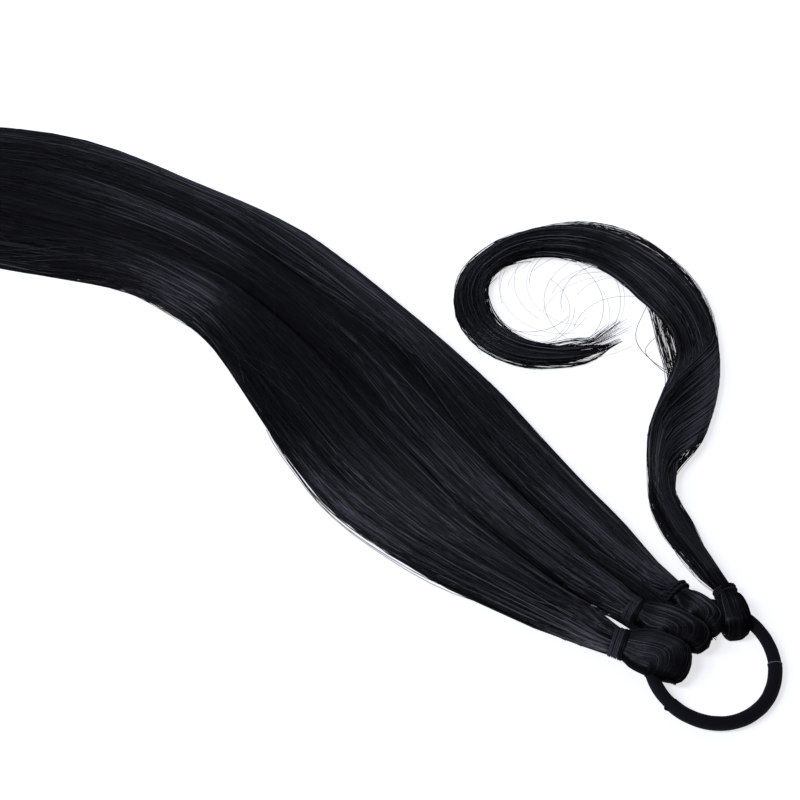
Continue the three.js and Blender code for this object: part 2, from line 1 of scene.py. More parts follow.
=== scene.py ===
import bpy
import numpy as np
from bpy.props import FloatProperty, FloatVectorProperty, IntProperty, PointerProperty
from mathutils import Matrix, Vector


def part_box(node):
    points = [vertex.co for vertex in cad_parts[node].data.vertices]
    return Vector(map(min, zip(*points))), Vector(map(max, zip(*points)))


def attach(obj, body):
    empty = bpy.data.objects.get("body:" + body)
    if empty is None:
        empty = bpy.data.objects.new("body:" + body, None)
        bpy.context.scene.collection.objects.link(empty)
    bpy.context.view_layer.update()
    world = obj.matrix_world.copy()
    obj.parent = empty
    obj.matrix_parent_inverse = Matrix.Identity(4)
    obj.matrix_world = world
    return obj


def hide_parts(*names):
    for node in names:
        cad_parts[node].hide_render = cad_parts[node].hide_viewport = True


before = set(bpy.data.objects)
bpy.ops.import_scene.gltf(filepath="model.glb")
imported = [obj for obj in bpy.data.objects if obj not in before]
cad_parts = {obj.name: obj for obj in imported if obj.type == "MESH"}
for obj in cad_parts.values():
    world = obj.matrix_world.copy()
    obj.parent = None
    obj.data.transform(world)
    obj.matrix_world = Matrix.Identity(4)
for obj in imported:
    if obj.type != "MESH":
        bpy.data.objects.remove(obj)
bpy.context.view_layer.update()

bl_info = {
    "name": "Ponytail hairpiece",
    "version": (1, 0, 0),
    "blender": (4, 2, 0),
    "location": "View3D > Sidebar > Hairpiece",
    "description": "Hair, bindings and covered elastic of a ponytail hairpiece lying on a table",
    "category": "Add Mesh",
}

# Sizes in millimetres, as in the part's own source
MM = 0.001
RING_RADIUS = 22.2
CORD_RADIUS = 2.3
SHEATH = 0.2
CLEARANCE = 0.3
LOOP_LAYER = 3.6
LOOP_LENGTH = 28.0
NECK_WIDTH = 9.8
NECK_HEIGHT = 9.0
NECK_PARTING = 2.1
THREAD_THICKNESS = 1.0
ROPE_THICKNESS = 1.7
TAIL_LENGTH = 480.0
TAIL_WIDTH = 85.0
TAIL_HEIGHT = 17.0
WRAP_LENGTH = 332.0
WRAP_WIDTH = 22.0
WRAP_HEIGHT = 9.0

RING_RISE = LOOP_LAYER + CLEARANCE - SHEATH
LOOP_HEIGHT = 2 * (LOOP_LAYER + CLEARANCE) + 2 * CORD_RADIUS
NECK_PITCH = NECK_WIDTH + 2 * (THREAD_THICKNESS + CLEARANCE) + NECK_PARTING

# The ring's centre in the frame: its box is a little off centre because of the nub.
RING_BOX_OFFSET = np.array([0.038, -0.180])
SIDE_STEP = 0.06
CROWN_DROP = 0.2
VALLEY_HEIGHT = 0.86
LOOP_FLATNESS = 1.25
WRAP_WAIST = 0.3
NOSE_START = 0.94

# A UV map counts in centimetres; neighbouring strands lie this far apart on it, so that their patterns
# differ. A strand is a tube of three sides.
CM = 0.1
STRAND_PATTERN_STEP = 0.731
STRAND_SIDES = 3
SHADE_STRENGTH = 0.75
PARTING_REACH = 2.5
PARTING_DIP = 0.6
TAIL_SEED = 40
WRAP_SEED = 50

# Rows and columns of each body of hair, and the strands on each piece and the points of one strand.
HANK_GRID = (120, 54)
LOOP_GRID = (48, 60)
WRAP_GRID = (180, 44)
COUNTS = {"loop": 330, "wrap": 1050, "fan": 400, "flyaway": 44}
POINTS = {"hank": 18, "gap": 9, "stray": 14, "loop": 20, "wrap": 19, "fan": 20, "wisp": 14, "flyaway": 16}

# How a hank's strands lie. The first three are shares of its strands: along its sides, rooted in the
# binding, and crossing the others. Then, in millimetres, how far those that cross drift across it, the
# strands' lowest and highest place over the plain surface, and how deep a strand dives where it starts or
# ends, which takes a share of the tail.
SIDE_STRANDS = 0.12
ROOTED_STRANDS = 0.5
CROSSING_STRANDS = 0.035
CROSSING_DRIFT = 7.0
STRAND_HEIGHTS = (-0.80, 0.38)
STRAND_DIVE = 1.7
DIVE_SHARE = 0.035

# The wound thread of the first two bindings and the dark bands beside it, in millimetres: places along
# the neck behind the binding's middle, radius, and distance outside the neck. The twisted cord: its plies,
# how often they turn round each other in one turn of the neck, how far each ply lies from the cord's
# middle, its radius, the distance from turn to turn in cord thicknesses, and how far the cord is pressed in.
THREAD = {"turns": 4.6, "from": -0.7, "to": 2.7, "radius": 0.40, "outside": 0.42}
BAND = {"places": (-2.05, -1.25), "radius": 0.52, "outside": 0.45, "steps": 61}
ROPE = {"plies": 2, "twists": 9, "reach": 0.40, "radius": 0.46, "pitch": 0.86, "inset": 0.1, "steps": 90}


def table_of(names, rows):
    """A table with named columns: {column name: its values from the first row to the last}."""
    return dict(zip(names.split(), np.array(rows, float).T))


# Angles about the ring's centre and headings are in degrees from +X towards +Y.
RING = {"highest": 152.0, "sheath_from": -106.0, "sheath_to": 30.0, "nub": -106.0}

TAIL = table_of("share heading width height front back merge open", [
    (0.00, -14.5, 0.40, 0.60, -0.45, 0.46, 0.00, 1.0),
    (0.03, -12.9, 0.54, 0.62, -0.31, 0.31, 0.02, 0.7),
    (0.06, -10.6, 0.65, 0.67, -0.34, 0.25, 0.12, 0.2),
    (0.09, -10.0, 0.73, 0.73, -0.31, 0.25, 0.30, 0.0),
    (0.12, -10.7, 0.81, 0.79, -0.29, 0.26, 0.48, 0.0),
    (0.15, -12.6, 0.88, 0.85, -0.26, 0.28, 0.62, 0.0),
    (0.18, -15.5, 0.93, 0.90, -0.22, 0.31, 0.72, 0.0),
    (0.21, -18.4, 0.98, 0.94, -0.19, 0.33, 0.80, 0.0),
    (0.24, -20.6, 1.00, 0.97, -0.19, 0.36, 0.86, 0.0),
    (0.27, -22.1, 0.98, 0.99, -0.19, 0.41, 0.90, 0.0),
    (0.30, -23.1, 0.96, 1.00, -0.18, 0.44, 0.90, 0.0),
    (0.34, -23.3, 0.91, 1.00, -0.20, 0.42, 0.86, 0.0),
    (0.38, -22.9, 0.86, 1.00, -0.24, 0.34, 0.80, 0.0),
    (0.42, -18.6, 0.81, 1.00, -0.30, 0.27, 0.76, 0.0),
    (0.45, -11.5, 0.79, 1.00, -0.32, 0.25, 0.76, 0.0),
    (0.48, -5.0, 0.77, 0.98, -0.34, 0.29, 0.78, 0.0),
    (0.51, -1.0, 0.75, 0.96, -0.33, 0.36, 0.82, 0.0),
    (0.55, 3.2, 0.75, 0.93, -0.30, 0.39, 0.88, 0.0),
    (0.60, 8.1, 0.81, 0.89, -0.27, 0.43, 0.92, 0.0),
    (0.65, 12.6, 0.89, 0.86, -0.22, 0.42, 0.94, 0.0),
    (0.70, 16.8, 0.91, 0.84, -0.17, 0.40, 0.94, 0.0),
    (0.75, 18.6, 0.88, 0.80, -0.18, 0.38, 0.92, 0.0),
    (0.80, 19.4, 0.80, 0.73, -0.22, 0.36, 0.88, 0.0),
    (0.85, 20.0, 0.70, 0.64, -0.27, 0.34, 0.80, 0.0),
    (0.90, 20.4, 0.58, 0.53, -0.31, 0.33, 0.66, 0.0),
    (0.95, 20.7, 0.46, 0.41, -0.33, 0.33, 0.50, 0.0),
    (1.00, 21.0, 0.34, 0.28, -0.33, 0.33, 0.40, 0.0),
])
TAIL_START = {"angle": 172.5, "outside": 0.22}
LOCK_START = 0.76
LOCKS_PER_HANK = 3

HANKS = [
    {"name": "front", "across": -0.975, "along": -0.01, "neck_heading": 189.5, "loop_heading": 9.0,
     "loop_length": 0.93, "loop_width": 1.24, "crown": 0.96, "neck": 1.0, "rope_turns": 0,
     "lock_ends": (0.925, 0.955, 0.94), "flare": (24, 10), "turn_at": 0.40, "turn_out": 1.02},
    {"name": "middle", "across": 0.03, "along": 0.16, "neck_heading": 176.0, "loop_heading": 0.8,
     "loop_length": 1.04, "loop_width": 0.88, "crown": 1.0, "neck": 0.88, "rope_turns": 0,
     "lock_ends": (0.97, 1.0, 0.975), "flare": (9, 10), "turn_at": 0.34, "turn_out": 1.25},
    {"name": "back", "across": 1.07, "along": -0.06, "neck_heading": 156.0, "loop_heading": -13.5,
     "loop_length": 0.78, "loop_width": 0.74, "crown": 0.92, "neck": 0.82, "rope_turns": 2,
     "lock_ends": (0.95, 0.965, 0.92), "flare": (5, 20), "turn_at": 0.36, "turn_out": 1.5},
]

LOOP = table_of("along width under top", [
    (1.00, 0.16, 0.26, 0.46),
    (0.97, 0.50, 0.08, 0.68),
    (0.91, 0.77, 0.00, 0.85),
    (0.80, 0.95, 0.00, 0.97),
    (0.66, 1.00, 0.00, 1.00),
    (0.50, 0.99, 0.00, 1.02),
    (0.36, 0.94, 0.00, 1.00),
    (0.24, 0.85, 0.00, 0.93),
    (0.15, 0.74, 0.03, 0.85),
])

WRAP = table_of("share heading width height", [
    (0.000, 148, 0.22, 0.80),
    (0.055, 146, 0.31, 0.84),
    (0.090, 143, 0.40, 0.88),
    (0.125, 135, 0.41, 0.94),
    (0.155, 114, 0.42, 0.96),
    (0.190, 100, 0.66, 0.84),
    (0.225, 98, 0.92, 0.78),
    (0.265, 98, 0.97, 0.84),
    (0.300, 104, 0.93, 1.00),
    (0.330, 115, 0.95, 1.00),
    (0.360, 122, 1.02, 0.86),
    (0.415, 136, 1.08, 0.70),
    (0.470, 153, 1.10, 0.62),
    (0.530, 172, 1.08, 0.60),
    (0.585, 199, 0.96, 0.60),
    (0.632, 217, 0.82, 0.62),
    (0.667, 232, 0.68, 0.66),
    (0.702, 250, 0.58, 0.70),
    (0.735, 266, 0.56, 0.72),
    (0.763, 287, 0.60, 0.70),
    (0.796, 311, 0.66, 0.64),
    (0.838, 338, 0.66, 0.58),
    (0.874, 362, 0.62, 0.54),
    (0.905, 380, 0.56, 0.50),
    (0.935, 392, 0.46, 0.46),
    (0.968, 408, 0.30, 0.36),
    (1.000, 420, 0.05, 0.10),
])
WRAP_PLACE = {"name": "wrap", "angle": 104.5, "outside": 0.26, "neck_heading": 136.0,
              "loop_heading": -52.0, "loop_length": 0.66, "loop_width": 0.80, "neck": 0.54,
              "rope_turns": 2, "sweep": -0.1}


# Small tools

def clamp(value, low=0.0, high=1.0):
    """The value, kept between low and high."""
    return np.minimum(np.maximum(value, low), high)


def mix(a, b, t):
    """Straight mix: a + (b − a) × t."""
    return a + (b - a) * t


def ease(t):
    """Smooth step: 3t² − 2t³ between 0 and 1."""
    t = clamp(t)
    return t * t * (3 - 2 * t)


def column(table, name, share, key="share"):
    """Cubic Hermite curve through a table's rows; a row's slope is the rise between its neighbours over
    their distance."""
    x, y = table[key], table[name]
    if x[0] > x[-1]:
        x, y = x[::-1], y[::-1]
    last = len(x) - 1
    at = clamp(np.asarray(share, float), x[0], x[-1])
    i = np.clip(np.searchsorted(x, at, side="right") - 1, 0, last - 1)
    row = np.arange(last + 1)
    before, after = np.maximum(row - 1, 0), np.minimum(row + 1, last)
    slope = (y[after] - y[before]) / (x[after] - x[before])
    span = x[i + 1] - x[i]
    t = (at - x[i]) / span
    rise = y[i + 1] - y[i]
    s0, s1 = slope[i] * span, slope[i + 1] * span
    return y[i] + t * (s0 + t * (3 * rise - 2 * s0 - s1 + t * (s0 + s1 - 2 * rise)))


def streaks(u, v, seed):
    """Smooth noise from −1 to 1: a random value at each whole (u, v), blended with a smooth step."""
    u, v = np.broadcast_arrays(np.asarray(u, float), np.asarray(v, float))
    iu, iv = np.floor(u).astype(np.int64), np.floor(v).astype(np.int64)
    fu, fv = ease(u - iu), ease(v - iv)

    def value(a, b):
        h = (a * 374761393 + b * 668265263 + seed * 144269504) & 0xFFFFFFFF
        h = ((h ^ (h >> 13)) * 1274126177) & 0xFFFFFFFF
        return ((h ^ (h >> 16)) & 0xFFFFFF) / float(0x7FFFFF) - 1

    low = mix(value(iu, iv), value(iu + 1, iv), fu)
    high = mix(value(iu, iv + 1), value(iu + 1, iv + 1), fu)
    return mix(low, high, fv)


def direction(heading):
    """Unit vector in plan at a heading in degrees."""
    h = np.radians(heading)
    return np.stack([np.cos(h), np.sin(h)], -1)


def across(heading):
    """Unit vector across a path, towards the tail's back."""
    h = np.radians(heading)
    return np.stack([np.sin(h), -np.cos(h)], -1)


def round_ring(angle, outside):
    """Point in plan at an angle about the ring's centre, at a distance outside the cord's middle."""
    return direction(angle) * (RING_RADIUS + outside)


def walk(start, length, heading_at):
    """A path in plan walked in 400 equal steps along its headings. Returns a function that gives the
    points and headings at shares of its length; past its end the path goes straight on."""
    steps = 400
    half = (np.arange(steps) + 0.5) / steps
    points = np.vstack([start, start + np.cumsum(direction(heading_at(half)) * length / steps, 0)])

    def place(share):
        share = np.asarray(share, float)
        at = clamp(share) * steps
        i = np.minimum(np.floor(at).astype(int), steps - 1)
        t = (at - i)[..., None]
        heading = heading_at(share)
        beyond = direction(heading) * (np.maximum(share - 1, 0) * length)[..., None]
        return points[i] * (1 - t) + points[i + 1] * t + beyond, heading

    return place


tail_place = walk(round_ring(TAIL_START["angle"], TAIL_START["outside"] * LOOP_LENGTH), TAIL_LENGTH,
                  lambda share: 180 + column(TAIL, "heading", share))
WRAP_CENTRE = round_ring(WRAP_PLACE["angle"], WRAP_PLACE["outside"] * LOOP_LENGTH)
wrap_place = walk(WRAP_CENTRE, WRAP_LENGTH, lambda share: column(WRAP, "heading", share))


def binding_centre(row):
    """Where a hank is bound: across the tail's start by the neck pitch and along it by the loop length."""
    point, heading = tail_place(0.0)
    return (point + across(heading) * row["across"] * NECK_PITCH
            + direction(heading) * row["along"] * LOOP_LENGTH)


def side_rise(distance, reach, start):
    """Quarter of an ellipse: 'start' at a side, 1 from 'reach' inwards."""
    t = 1 - clamp(distance / reach)
    return start + (1 - start) * np.sqrt(1 - t * t)


def parabola_rise(distance, reach, start):
    """Parabola: 'start' at a side, 1 from 'reach' inwards."""
    t = clamp(distance / reach)
    return start + (1 - start) * t * (2 - t)


def neck_sizes(row):
    """A neck's half-width, half-height and height over the floor, which leaves room for its binding."""
    cover = ROPE_THICKNESS if row["rope_turns"] else THREAD_THICKNESS
    return {"half_width": row["neck"] * NECK_WIDTH / 2, "half_height": row["neck"] * NECK_HEIGHT / 2,
            "lift": cover + CLEARANCE}


def frame_shift():
    """From the ring's centre to the frame, in millimetres: the middle of the ring's CAD box."""
    low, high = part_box("elastic_ring")
    middle = (np.array(low) + np.array(high))[:2] / 2 / MM - RING_BOX_OFFSET
    return np.array([middle[0], middle[1], 0.0])


SHIFT = frame_shift()


# Meshes

def put_mesh(name, verts, faces, uv, shade=None):
    """A mesh object at the origin from whole arrays: verts in millimetres round the ring's centre,
    faces a list of index arrays with 3 or 4 columns, uv and shade one row for each vertex."""
    mesh = bpy.data.meshes.new(name)
    mesh.vertices.add(len(verts))
    mesh.vertices.foreach_set("co", ((verts + SHIFT) * MM).astype(np.float32).ravel())
    loops = np.concatenate([f.ravel() for f in faces]).astype(np.int32)
    sizes = np.concatenate([np.full(len(f), f.shape[1]) for f in faces])
    starts = np.concatenate([[0], np.cumsum(sizes)[:-1]]).astype(np.int32)
    mesh.loops.add(len(loops))
    mesh.loops.foreach_set("vertex_index", loops)
    mesh.polygons.add(len(sizes))
    mesh.polygons.foreach_set("loop_start", starts)
    mesh.polygons.foreach_set("use_smooth", np.full(len(sizes), True))
    mesh.update(calc_edges=True)
    layer = mesh.uv_layers.new(name="along_hair")
    layer.data.foreach_set("uv", uv[loops].astype(np.float32).ravel())
    if shade is not None:
        mesh.attributes.new("shade", "FLOAT", "POINT").data.foreach_set(
            "value", clamp(SHADE_STRENGTH * shade).astype(np.float32).ravel())
    if mesh.validate():
        raise RuntimeError(f"{name} has faces that Blender had to mend")
    obj = bpy.data.objects.new(name, mesh)
    bpy.context.scene.collection.objects.link(obj)
    return obj


def finish_piece(obj, material, slot, *nodes):
    """Gives a piece its material, lets it ride the part and stand for its CAD nodes; 'slot' is not used."""
    obj.data.materials.append(material)
    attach(obj, "root")
    if nodes:
        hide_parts(*nodes)
    return obj


def skin(rows, closed_rows=False):
    """Faces of a grid of points (rows × columns) closed round its columns; the ends are fanned to a
    middle point each, unless the rows close on themselves. Returns points and faces."""
    n, m = rows.shape[:2]
    index = np.arange(n * m).reshape(n, m)
    ring = np.roll(index, -1, 1)
    if closed_rows:
        low, low_next = index, ring
        high, high_next = np.roll(index, -1, 0), np.roll(ring, -1, 0)
        quads = np.stack([low, low_next, high_next, high], -1).reshape(-1, 4)
        return rows.reshape(-1, 3), [quads]
    quads = np.stack([index[:-1], ring[:-1], ring[1:], index[1:]], -1).reshape(-1, 4)
    verts = np.vstack([rows.reshape(-1, 3), rows[0].mean(0), rows[-1].mean(0)])
    first = np.stack([np.full(m, n * m), ring[0], index[0]], -1)
    last = np.stack([np.full(m, n * m + 1), index[-1], ring[-1]], -1)
    return verts, [quads, np.vstack([first, last])]


def outward(verts, faces):
    """Faces turned so that the volume inside is positive: the sum of corner · (corner × corner) / 6."""
    volume = 0.0
    for f in faces:
        a = verts[f[:, 0]]
        for k in range(1, f.shape[1] - 1):
            volume += np.einsum("ij,ij->", a, np.cross(verts[f[:, k]], verts[f[:, k + 1]]))
    return faces if volume > 0 else [f[:, ::-1] for f in faces]


def tubes(lines, radius, sides, up=None, closed=False):
    """Round tubes along many lines at once (lines × points × 3): at each point a ring of 'sides' corners,
    radius × (side · cos + normal · sin), where side is tangent × up and normal is side × tangent. The
    ends close with one face. Returns points and faces with their outsides out."""
    n, m = lines.shape[:2]
    if closed:
        tangent = np.roll(lines, -1, 1) - np.roll(lines, 1, 1)
    else:
        tangent = np.gradient(lines, axis=1)
    tangent /= np.linalg.norm(tangent, axis=2, keepdims=True) + 1e-12
    up = np.broadcast_to(np.array([0.0, 0.0, 1.0]) if up is None else up, lines.shape)
    side = np.cross(tangent, up)
    side /= np.linalg.norm(side, axis=2, keepdims=True) + 1e-12
    normal = np.cross(side, tangent)
    angle = np.arange(sides) / sides * 2 * np.pi + np.pi / 2
    reach = np.broadcast_to(radius, (n, m))[:, :, None, None]
    corners = (lines[:, :, None] + reach * (side[:, :, None] * np.cos(angle)[None, None, :, None]
                                            + normal[:, :, None] * np.sin(angle)[None, None, :, None]))
    index = np.arange(n * m * sides).reshape(n, m, sides)
    ring = np.roll(index, -1, 2)
    if closed:
        high, high_ring = np.roll(index, -1, 1), np.roll(ring, -1, 1)
        quads = np.stack([index, ring, high_ring, high], -1).reshape(-1, 4)
        return corners.reshape(-1, 3), [quads]
    quads = np.stack([index[:, :-1], ring[:, :-1], ring[:, 1:], index[:, 1:]], -1).reshape(-1, 4)
    first, last = index[:, 0, ::-1], index[:, -1]
    return corners.reshape(-1, 3), [quads, first, last]


def put_strands(name, material, lines, radius, shade, up=None):
    """Many hair strands in one piece. Its UV map holds a number for each strand and the distance along
    it in centimetres; 'shade' is one value for each point of each line."""
    n, m = lines.shape[:2]
    verts, faces = tubes(lines, radius, STRAND_SIDES, up)
    step = np.linalg.norm(np.diff(lines, axis=1), axis=2)
    along = np.concatenate([np.zeros((n, 1)), np.cumsum(step, 1)], 1) * CM
    uv = np.stack([np.broadcast_to(np.arange(n)[:, None] * STRAND_PATTERN_STEP, (n, m)), along], -1)
    uv = np.repeat(uv[:, :, None], STRAND_SIDES, 2).reshape(-1, 2)
    tone = np.repeat(np.broadcast_to(shade, (n, m))[:, :, None], STRAND_SIDES, 2).ravel()
    hair = put_mesh(name, verts, outward(verts, faces), uv, tone)
    return finish_piece(hair, material, "hair")


def put_body(name, material, rows, uv, shade, streak, seed, *nodes):
    """The body of hair under strands: a skin over rows of points whose shade is its middle plus its range
    times a noise; the middles given are dark, painted shade for the hair that lies under the strands.
    'streak' is the noise's size across and along the hair, in centimetres."""
    verts, faces = skin(rows)
    uv = uv.reshape(-1, 2)
    uv = np.vstack([uv, uv[0], uv[-1]])
    tone = clamp(shade[0] + shade[1] * streaks(uv[:, 0] / streak[0], uv[:, 1] / streak[1], seed))
    body = put_mesh(name, verts, outward(verts, faces), uv, tone)
    return finish_piece(body, material, "hair", *nodes)


# The tail's hair

def lane(index, share):
    """The two sides of a hank at shares of the tail, across its path, and the tail's half-width there."""
    half = column(TAIL, "width", share) * TAIL_WIDTH / 2
    gap = (CLEARANCE + np.maximum(column(TAIL, "open", share), 0) * NECK_PARTING) / 2
    sides = [-half, column(TAIL, "front", share) * half, column(TAIL, "back", share) * half, half]
    low = sides[index] + (gap if index > 0 else 0)
    high = sides[index + 1] - (gap if index < len(HANKS) - 1 else 0)
    return low, high, half


def tail_top(index, share, station):
    """Height of a hank's top: a crown over the whole tail, round outer sides and valleys between the
    hanks where they have merged."""
    low, high, half = lane(index, share)
    merge = clamp(column(TAIL, "merge", share))
    offset = mix(low, high, station)

    def rise(distance, outer):
        if outer:
            return side_rise(distance, mix(0.5, 0.75, merge), SIDE_STEP)
        start = np.maximum(VALLEY_HEIGHT * merge, SIDE_STEP)
        sharp = side_rise(distance, mix(0.5, 0.2, merge), start)
        soft = parabola_rise(distance, mix(0.5, 0.36, merge), start - 0.05 * merge)
        return mix(sharp, soft, 0.3 * merge + 0.5 * ease((share - 0.5) / 0.15))

    sides = rise(station, index == 0) * rise(1 - station, index == len(HANKS) - 1)
    crown = 1 - CROWN_DROP * merge * (offset / half) ** 2
    return column(TAIL, "height", share) * TAIL_HEIGHT * HANKS[index]["crown"] * sides * crown


def tail_surface(share, offset):
    """Height of the whole tail at a distance across it, whichever hank lies there."""
    share, offset = np.broadcast_arrays(share, offset)
    result = None
    for index in range(len(HANKS)):
        low, high, _ = lane(index, share)
        top = tail_top(index, share, clamp((offset - low) / (high - low)))
        result = top if result is None else np.where(offset > low - 0.2, top, result)
    return result


def relief(offset, share, seed):
    """How far hair stands above or sinks below the plain surface, in millimetres: three sizes of lock,
    about 8, 3 and 1 mm wide, that drift and change slowly along the tail."""
    along = share * TAIL_LENGTH
    drift = 3.0 * streaks(offset / 34, along / 150, seed + 5)
    wide = streaks((offset + drift) / 8.0, along / 260, seed)
    middle = streaks((offset + drift) / 3.0, along / 210, seed + 1)
    fine = streaks((offset + drift) / 1.05, along / 160, seed + 2)
    grow = ease((share - 0.02) / 0.12)
    return (0.80 * wide + 0.50 * middle + 0.24 * fine) * grow


def hank_point(index, share, offset, lift):
    """A point on a hank, 'offset' millimetres across the tail and 'lift' above its plain surface: from
    the neck, round in section, it blends into the tail; past the lock start it closes in on its own
    lock."""
    row = HANKS[index]
    share, offset = np.broadcast_arrays(np.asarray(share, float), np.asarray(offset, float))
    low, high, _ = lane(index, share)
    station = clamp((offset - low) / (high - low))
    point, heading = tail_place(share)
    top = tail_surface(share, offset) + lift

    lock = np.clip(np.floor(station * LOCKS_PER_HANK), 0, LOCKS_PER_HANK - 1)
    end = np.array(row["lock_ends"])[lock.astype(int)]
    t = clamp((share - LOCK_START) / (end - LOCK_START))
    swell = mix(0.8, 1.0, clamp(t * 4)) * np.sqrt(1 - 0.97 * t * t)
    middle = mix(low, high, (lock + 0.5) / LOCKS_PER_HANK)
    q = (station * LOCKS_PER_HANK - lock) * 2 - 1
    half = (high - low) / (2 * LOCKS_PER_HANK) * swell
    crown = tail_top(index, share, (lock + 0.5) / LOCKS_PER_HANK) * swell
    tip_top = crown * side_rise(np.minimum(1 + q, 1 - q) / 2, 0.5, SIDE_STEP) + lift
    blend = ease((share - 0.72) / 0.10)
    across_tail = mix(offset, middle + q * half, blend)
    top = mix(top, tip_top, blend)
    plan = point + across(heading) * across_tail[..., None]

    neck = neck_sizes(row)
    behind = share * TAIL_LENGTH - row["along"] * LOOP_LENGTH
    heading = row["neck_heading"]
    w = station * 2 - 1
    neck_plan = (binding_centre(row) + direction(heading) * behind[..., None]
                 + across(heading) * (w * (neck["half_width"] + 0.1))[..., None])
    neck_top = (neck["lift"] + neck["half_height"]
                + (neck["half_height"] + 0.05) * np.sqrt(np.maximum(1 - w * w, 0)) + lift)
    free = ease((behind - 0.6) / mix(row["flare"][0], row["flare"][1], station))
    plan = mix(neck_plan, plan, free[..., None])
    top = mix(neck_top, top, free)
    return np.concatenate([plan, np.maximum(top, 0.12)[..., None]], -1)


# Painted highlights (+) and painted shade (-) on the tail's hair: soft areas where its sheen is painted
# bright or dark. The middle of each along the tail and across it, from -1 at the front edge to 1 at the back
# edge, and how far it reaches both ways.
PAINTED_SHEEN_AND_SHADE = table_of("share across long wide amount", [
    (0.23, -0.88, 0.060, 0.30, 0.36),
    (0.16, -0.60, 0.060, 0.30, 0.18),
    (0.02, -0.90, 0.035, 0.45, 0.40),
    (0.07, -0.95, 0.050, 0.25, 0.26),
    (0.14, -0.02, 0.070, 0.16, 0.30),
    (0.05, -0.15, 0.045, 0.14, 0.30),
    (0.015, -0.10, 0.025, 0.25, 0.40),
    (0.08, 0.50, 0.055, 0.14, 0.30),
    (0.01, 0.60, 0.022, 0.45, 0.36),
    (0.62, 0.90, 0.050, 0.16, 0.20),
    (0.52, 0.80, 0.070, 0.18, 0.26),
    (0.41, 0.76, 0.060, 0.20, 0.28),
    (0.32, 0.90, 0.050, 0.16, 0.20),
    (0.485, -0.88, 0.045, 0.24, 0.46),
    (0.545, 0.00, 0.070, 0.12, 0.28),
    (0.35, -0.62, 0.075, 0.48, -0.50),
    (0.39, -0.05, 0.080, 0.14, -0.46),
    (0.25, 0.36, 0.060, 0.18, -0.30),
    (0.23, 0.75, 0.050, 0.25, -0.30),
    (0.14, 0.30, 0.050, 0.09, -0.12),
    (0.70, -0.05, 0.070, 0.70, -0.60),
    (0.61, -0.62, 0.050, 0.24, -0.36),
    (0.60, 0.42, 0.060, 0.14, -0.26),
    (0.53, -0.38, 0.050, 0.14, -0.30),
    (0.17, 0.50, 0.050, 0.20, -0.26),
    (0.045, 0.78, 0.035, 0.25, -0.34),
    (0.22, -1.00, 0.050, 0.12, 0.26),
    (0.07, -0.28, 0.040, 0.08, 0.20),
    (0.075, 0.08, 0.040, 0.08, 0.16),
    (0.004, 0.85, 0.018, 0.30, 0.28),
    (0.41, -0.80, 0.030, 0.14, -0.14),
    (0.42, -0.08, 0.035, 0.12, -0.26),
    (0.27, -0.45, 0.045, 0.25, -0.20),
    (0.58, 0.35, 0.040, 0.12, -0.26),
    (0.67, -0.25, 0.040, 0.14, -0.24),
    (0.66, -0.62, 0.070, 0.14, -0.36),
    (0.12, -0.72, 0.035, 0.20, -0.14),
    (0.455, -0.65, 0.030, 0.18, 0.22),
    (0.16, 0.44, 0.045, 0.07, -0.26),
    (0.234, 0.54, 0.040, 0.10, -0.15),
    (0.282, -0.74, 0.035, 0.09, -0.20),
    (0.555, 0.14, 0.032, 0.09, -0.46),
    (0.135, 0.62, 0.045, 0.16, -0.16),
    (0.395, 0.12, 0.030, 0.07, -0.24),
    (0.25, -1.00, 0.050, 0.09, 0.28),
    (0.075, -0.46, 0.030, 0.09, 0.26),
    (0.57, -0.80, 0.070, 0.07, -0.20),
    (0.44, -0.22, 0.030, 0.08, -0.14),
])


# Two partings that run along the tail near the valleys between the hanks: where each lies across the
# tail, from -1 to 1, and how deep both are. Strands sink into them and are painted darker there, as painted
# shade.
PARTINGS = table_of("share lower upper depth", [
    (0.22, -0.16, 0.32, 0.0),
    (0.28, -0.14, 0.30, 0.4),
    (0.32, -0.14, 0.27, 0.8),
    (0.36, -0.17, 0.24, 1.0),
    (0.40, -0.24, 0.22, 1.0),
    (0.45, -0.34, 0.17, 1.0),
    (0.50, -0.39, 0.18, 0.9),
    (0.55, -0.42, 0.24, 0.8),
    (0.61, -0.46, 0.31, 0.7),
    (0.68, -0.52, 0.36, 0.7),
    (0.80, -0.55, 0.40, 0.0),
])


def parting_depth(share, offset, half):
    """How deep a place lies in a parting, 0 to 1: the bell exp(-(distance / reach)^2) round each."""
    depth = column(PARTINGS, "depth", share)
    lower, upper = (offset - column(PARTINGS, side, share) * half for side in ("lower", "upper"))
    return depth * np.exp(-(np.minimum(np.abs(lower), np.abs(upper)) / PARTING_REACH) ** 2)


def painted_light_areas(table, share, place):
    """Sum of a table's painted highlight and painted shade areas at shares along a lock and places across it:
    amount times the bell exp(-(along / long)^2 - (across / wide)^2)."""
    total = 0.0
    for s, w, long, wide, amount in zip(*(table[k] for k in ("share", "across", "long", "wide", "amount"))):
        total = total + amount * np.exp(-((share - s) / long) ** 2 - ((place - w) / wide) ** 2)
    return total


# Where the points of a strand lie along the tail: closer at the neck and in the bend.
POINT_DENSITY = table_of("share weight", [
    (0.00, 3.0), (0.05, 2.4), (0.12, 1.1), (0.30, 1.0), (0.38, 1.8), (0.46, 2.4), (0.53, 1.8), (0.62, 1.0),
    (0.75, 1.1), (0.90, 1.6), (1.00, 1.6)])


